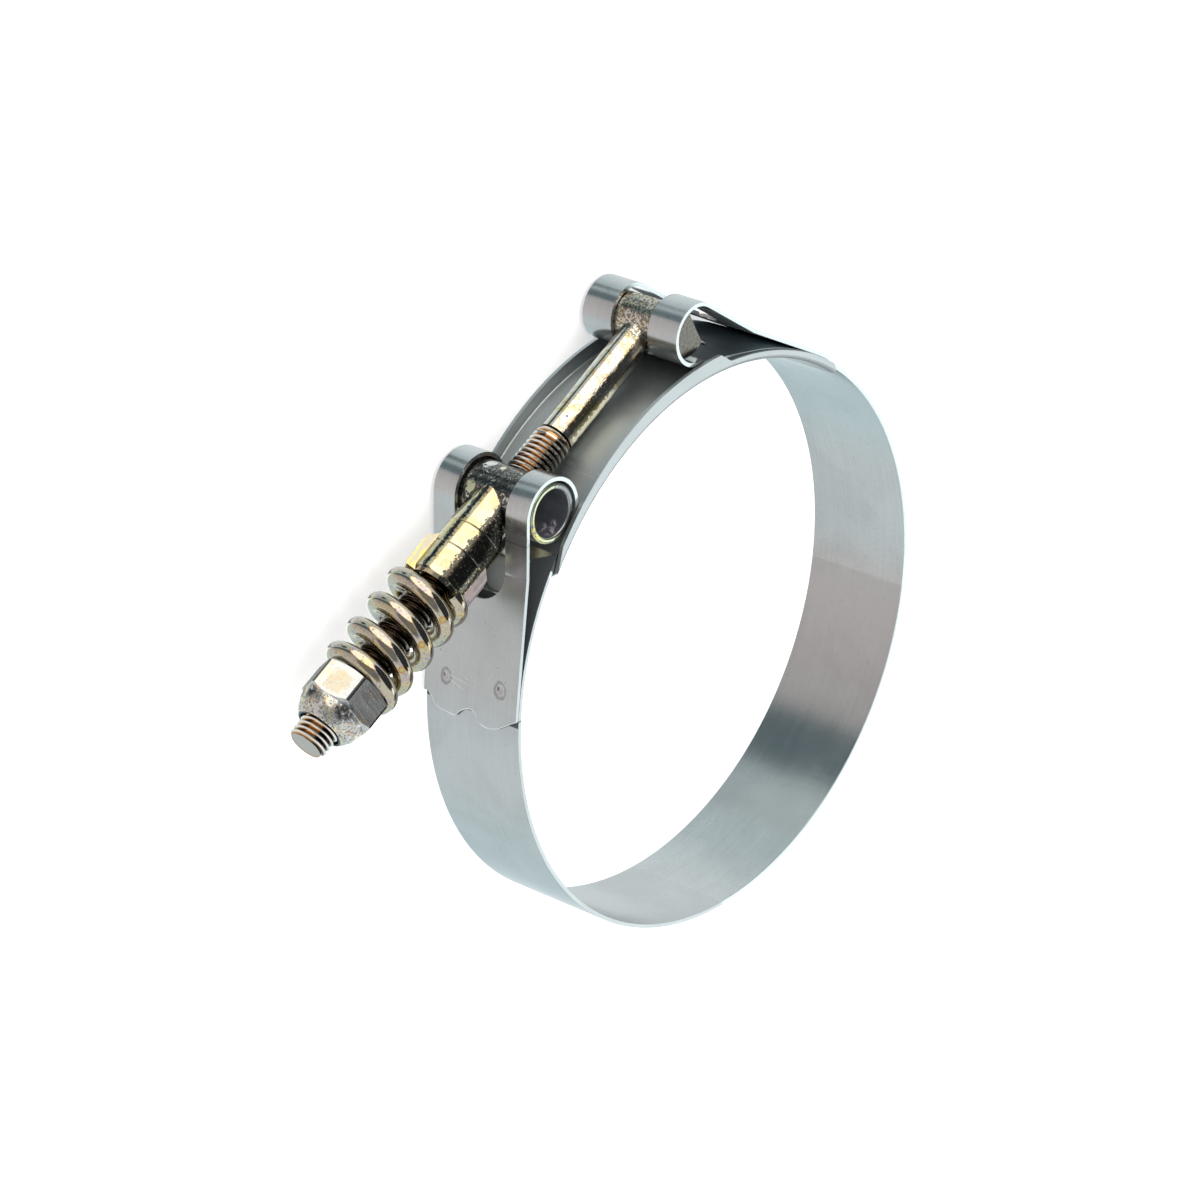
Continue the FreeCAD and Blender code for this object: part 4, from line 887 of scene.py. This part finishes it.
def edit_whole(piece, operator, **settings):
    """Runs one mesh operator on everything in a piece."""
    only(piece)
    bpy.ops.object.mode_set(mode="EDIT")
    bpy.ops.mesh.select_all(action="SELECT")
    operator(**settings)
    bpy.ops.object.mode_set(mode="OBJECT")


def copy_of(node, name):
    """A merged copy of a CAD node's mesh as a new piece."""
    source = frame["nodes"][node]
    piece = bpy.data.objects.new(name, source.data.copy())
    bpy.context.collection.objects.link(piece)
    piece.data.materials.clear()
    edit_whole(piece, bpy.ops.mesh.remove_doubles, threshold=merge_distance)
    if piece.data.has_custom_normals:
        bpy.ops.mesh.customdata_custom_splitnormals_clear()
    return piece


def slice_off(piece, x, side):
    """Cuts across at x, takes away what lies on that side of it, and closes the cut."""
    edit_whole(piece, bpy.ops.mesh.bisect, plane_co=(x, 0, 0), plane_no=(side, 0, 0),
               use_fill=True, clear_outer=True, threshold=1e-7)


# %% [markdown]
# Two marks are worked out face by face and kept on the mesh, for the materials to read. A
# face is in a den if rays from it soon strike the same piece, as inside the loops. A face is
# on the rim if it looks straight up, which is the strip's sheared edge, and the strip paints
# a highlight there.

# %% Marks kept on the mesh
widest_den = 0.013


def mark_dens(piece):
    """Marks the faces that look at their own piece across a narrow gap, as in a loop."""
    faces = piece.data.polygons
    corners = [v.co.copy() for v in piece.data.vertices]
    tree = BVHTree.FromPolygons(corners, [tuple(face.vertices) for face in faces])
    den = piece.data.attributes.new("den", "FLOAT", "CORNER")
    rim = piece.data.attributes.new("rim", "FLOAT", "CORNER")
    for face in faces:
        tries = [face.center.lerp(corners[i], share) for i in face.vertices for share in (0.1, 0.7)]
        hits = 0
        for start in tries:
            struck = tree.ray_cast(start + face.normal * 1e-5, face.normal, widest_den)[0]
            hits += struck is not None
        for corner in face.loop_indices:
            den.data[corner].value = 1.0 if hits > 0.4 * len(tries) else 0.0
            rim.data[corner].value = 1.0 if face.normal.z > 0.9 else 0.0


# %% [markdown]
# The bevel's faces get a second material slot while it is applied, which shows afterwards
# which faces are bevels. That becomes the mark "edge", which the plated pieces paint as a
# highlight and the strip as a line of shade, and the slot is taken away again. The weighted
# normals keep the large faces flat, so that reflections don't bend near an edge.

# %% Soft edges
def soft_edged(node, name, width, material, body):
    """A copy of a node with a bevel along every sharp corner."""
    piece = copy_of(node, name)
    piece.data.materials.append(material)
    piece.data.materials.append(material)
    edit_whole(piece, bpy.ops.mesh.dissolve_limited, angle_limit=math.radians(0.2))
    edge = piece.modifiers.new("edge", "BEVEL")
    edge.width = width
    edge.segments = 2
    edge.limit_method = "ANGLE"
    edge.angle_limit = math.radians(38)
    edge.material = 1
    bpy.ops.object.modifier_apply(modifier="edge")
    bevel_faces = piece.data.attributes.new("edge", "FLOAT", "CORNER")
    for face in piece.data.polygons:
        for corner in face.loop_indices:
            bevel_faces.data[corner].value = face.material_index
        face.material_index = 0
    piece.data.materials.pop(index=1)
    bpy.ops.object.shade_smooth_by_angle(angle=math.radians(40))
    mark_dens(piece)
    flat = piece.modifiers.new("flat", "WEIGHTED_NORMAL")
    flat.keep_sharp = True
    flat.weight = 80
    bpy.ops.object.modifier_apply(modifier="flat")
    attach(piece, body)
    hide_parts(node)
    print("soft edges on", node, len(piece.data.polygons), "faces")


soft_edged("band", "folded_band", 0.00009, band_metal, "clamp")
soft_edged("trunnion", "trunnion_tube", 0.00012, trunnion_metal, "clamp")
soft_edged("sleeve", "turned_sleeve", 0.00010, sleeve_metal, "clamp")
soft_edged("lock_nut", "plated_nut", 0.00014, nut_metal, "nut")

# %% [markdown]
# The bolt's solid has a plain cylinder where the thread is. The real thread is rolled: one
# ridge, a quarter inch over its crests and 28 turns to the inch, wound right-handed. A
# Screw modifier winds one tooth's outline round the bolt's line, which is how a thread grows
# on a lathe. The shank and head are kept as a copy of the solid, cut off where the thread
# starts.

# %% The thread
thread_pitch = 0.0254 / 28
crest_radius = 0.003175
root_radius = crest_radius - 0.6 * thread_pitch
shank_radius = 0.00285
thread_top = bolt_tip + 0.0633
turns = int((thread_top - bolt_tip) / thread_pitch) + 4
start = bolt_tip - 2 * thread_pitch
shoulder = crest_radius - 0.00004
tooth = [(0.0, root_radius), (0.10, root_radius), (0.42, shoulder), (0.50, crest_radius),
         (0.58, shoulder), (0.90, root_radius), (1.0, root_radius)]
outline = bpy.data.meshes.new("thread")
outline.from_pydata([(start + part * thread_pitch, radius, 0) for part, radius in tooth],
                    [(i, i + 1) for i in range(len(tooth) - 1)], [])
thread = bpy.data.objects.new("bolt_thread", outline)
bpy.context.collection.objects.link(thread)
only(thread)
wind = thread.modifiers.new("wind", "SCREW")
wind.axis = "X"
wind.angle = 2 * math.pi
wind.screw_offset = thread_pitch
wind.iterations = turns
wind.steps = wind.render_steps = 40
wind.use_merge_vertices = True
wind.merge_threshold = merge_distance
wind.use_smooth_shade = True
bpy.ops.object.modifier_apply(modifier="wind")
edit_whole(thread, bpy.ops.mesh.remove_doubles, threshold=merge_distance)
right_handed = 0
for edge in thread.data.edges:
    one, two = (thread.data.vertices[i].co for i in edge.vertices)
    swing = one.y * two.z - one.z * two.y
    if 1e-9 < abs(two.x - one.x) < 0.1 * thread_pitch and abs(swing) > 1e-9:
        right_handed += 1 if swing * (two.x - one.x) > 0 else -1
print("thread", len(thread.data.polygons), "faces, hand", "right" if right_handed > 0 else "left")

# %% [markdown]
# A real thread doesn't stop dead. At the tip it is chamfered, so that the nut finds it, and
# at the shank its root climbs out over two turns while its crest comes down. Each point's
# distance from the bolt's line is limited to suit.

# %% Trim the thread, run it out and place it
slice_off(thread, bolt_tip, -1)
slice_off(thread, thread_top, 1)
chamfer_depth, chamfer_slope = 0.000585, 1.3
for vertex in thread.data.vertices:
    radius = math.hypot(vertex.co.y, vertex.co.z)
    if radius < merge_distance:
        continue
    from_tip = vertex.co.x - bolt_tip
    wanted = min(radius, crest_radius - chamfer_depth + from_tip * chamfer_slope)
    run_out = (vertex.co.x - thread_top + 2.0 * thread_pitch) / (2.0 * thread_pitch)
    if run_out > 0:
        run_out = min(run_out, 1.0)
        wanted = max(wanted, root_radius + (shank_radius - root_radius) * run_out)
        wanted = min(wanted, crest_radius + (shank_radius - crest_radius) * run_out ** 3)
    vertex.co.y *= wanted / radius
    vertex.co.z *= wanted / radius
for vertex in thread.data.vertices:
    vertex.co.y += bolt_line
edit_whole(thread, bpy.ops.mesh.normals_make_consistent, inside=False)
print("trimmed thread", len(thread.data.polygons), "faces")

# %% [markdown]
# The shank and the forged head are the solid's own. The cut end is drawn in to the shank's
# radius, so that it meets the thread's run-out without a step.

# %% The shank and head
bolt = copy_of("t_bolt", "bolt")
neck_end = thread_top + 0.0004
slice_off(bolt, neck_end, -1)
for vertex in bolt.data.vertices:
    if vertex.co.x < neck_end + 0.0001:
        radius = math.hypot(vertex.co.y - bolt_line, vertex.co.z)
        if radius > shank_radius:
            vertex.co.y = bolt_line + (vertex.co.y - bolt_line) * shank_radius / radius
            vertex.co.z *= shank_radius / radius
only(bolt)
thread.select_set(True)
bpy.ops.object.join()
bpy.ops.object.shade_smooth_by_angle(angle=math.radians(32))
bolt.data.materials.clear()
bolt.data.materials.append(bolt_metal)
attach(bolt, frame["record"]["behaviour"]["joints"][0]["parent"])
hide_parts("t_bolt")
print("bolt", len(bolt.data.polygons), "faces")

# %% [markdown]
# The spring is a smooth-shaded copy of its solid, in its own plating, in place of the solid.

# %% The spring
coil = copy_of("spring", "coil_spring")
only(coil)
bpy.ops.object.shade_smooth_by_angle(angle=math.radians(35))
coil.data.materials.append(spring_metal)
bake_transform(coil)
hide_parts("spring")
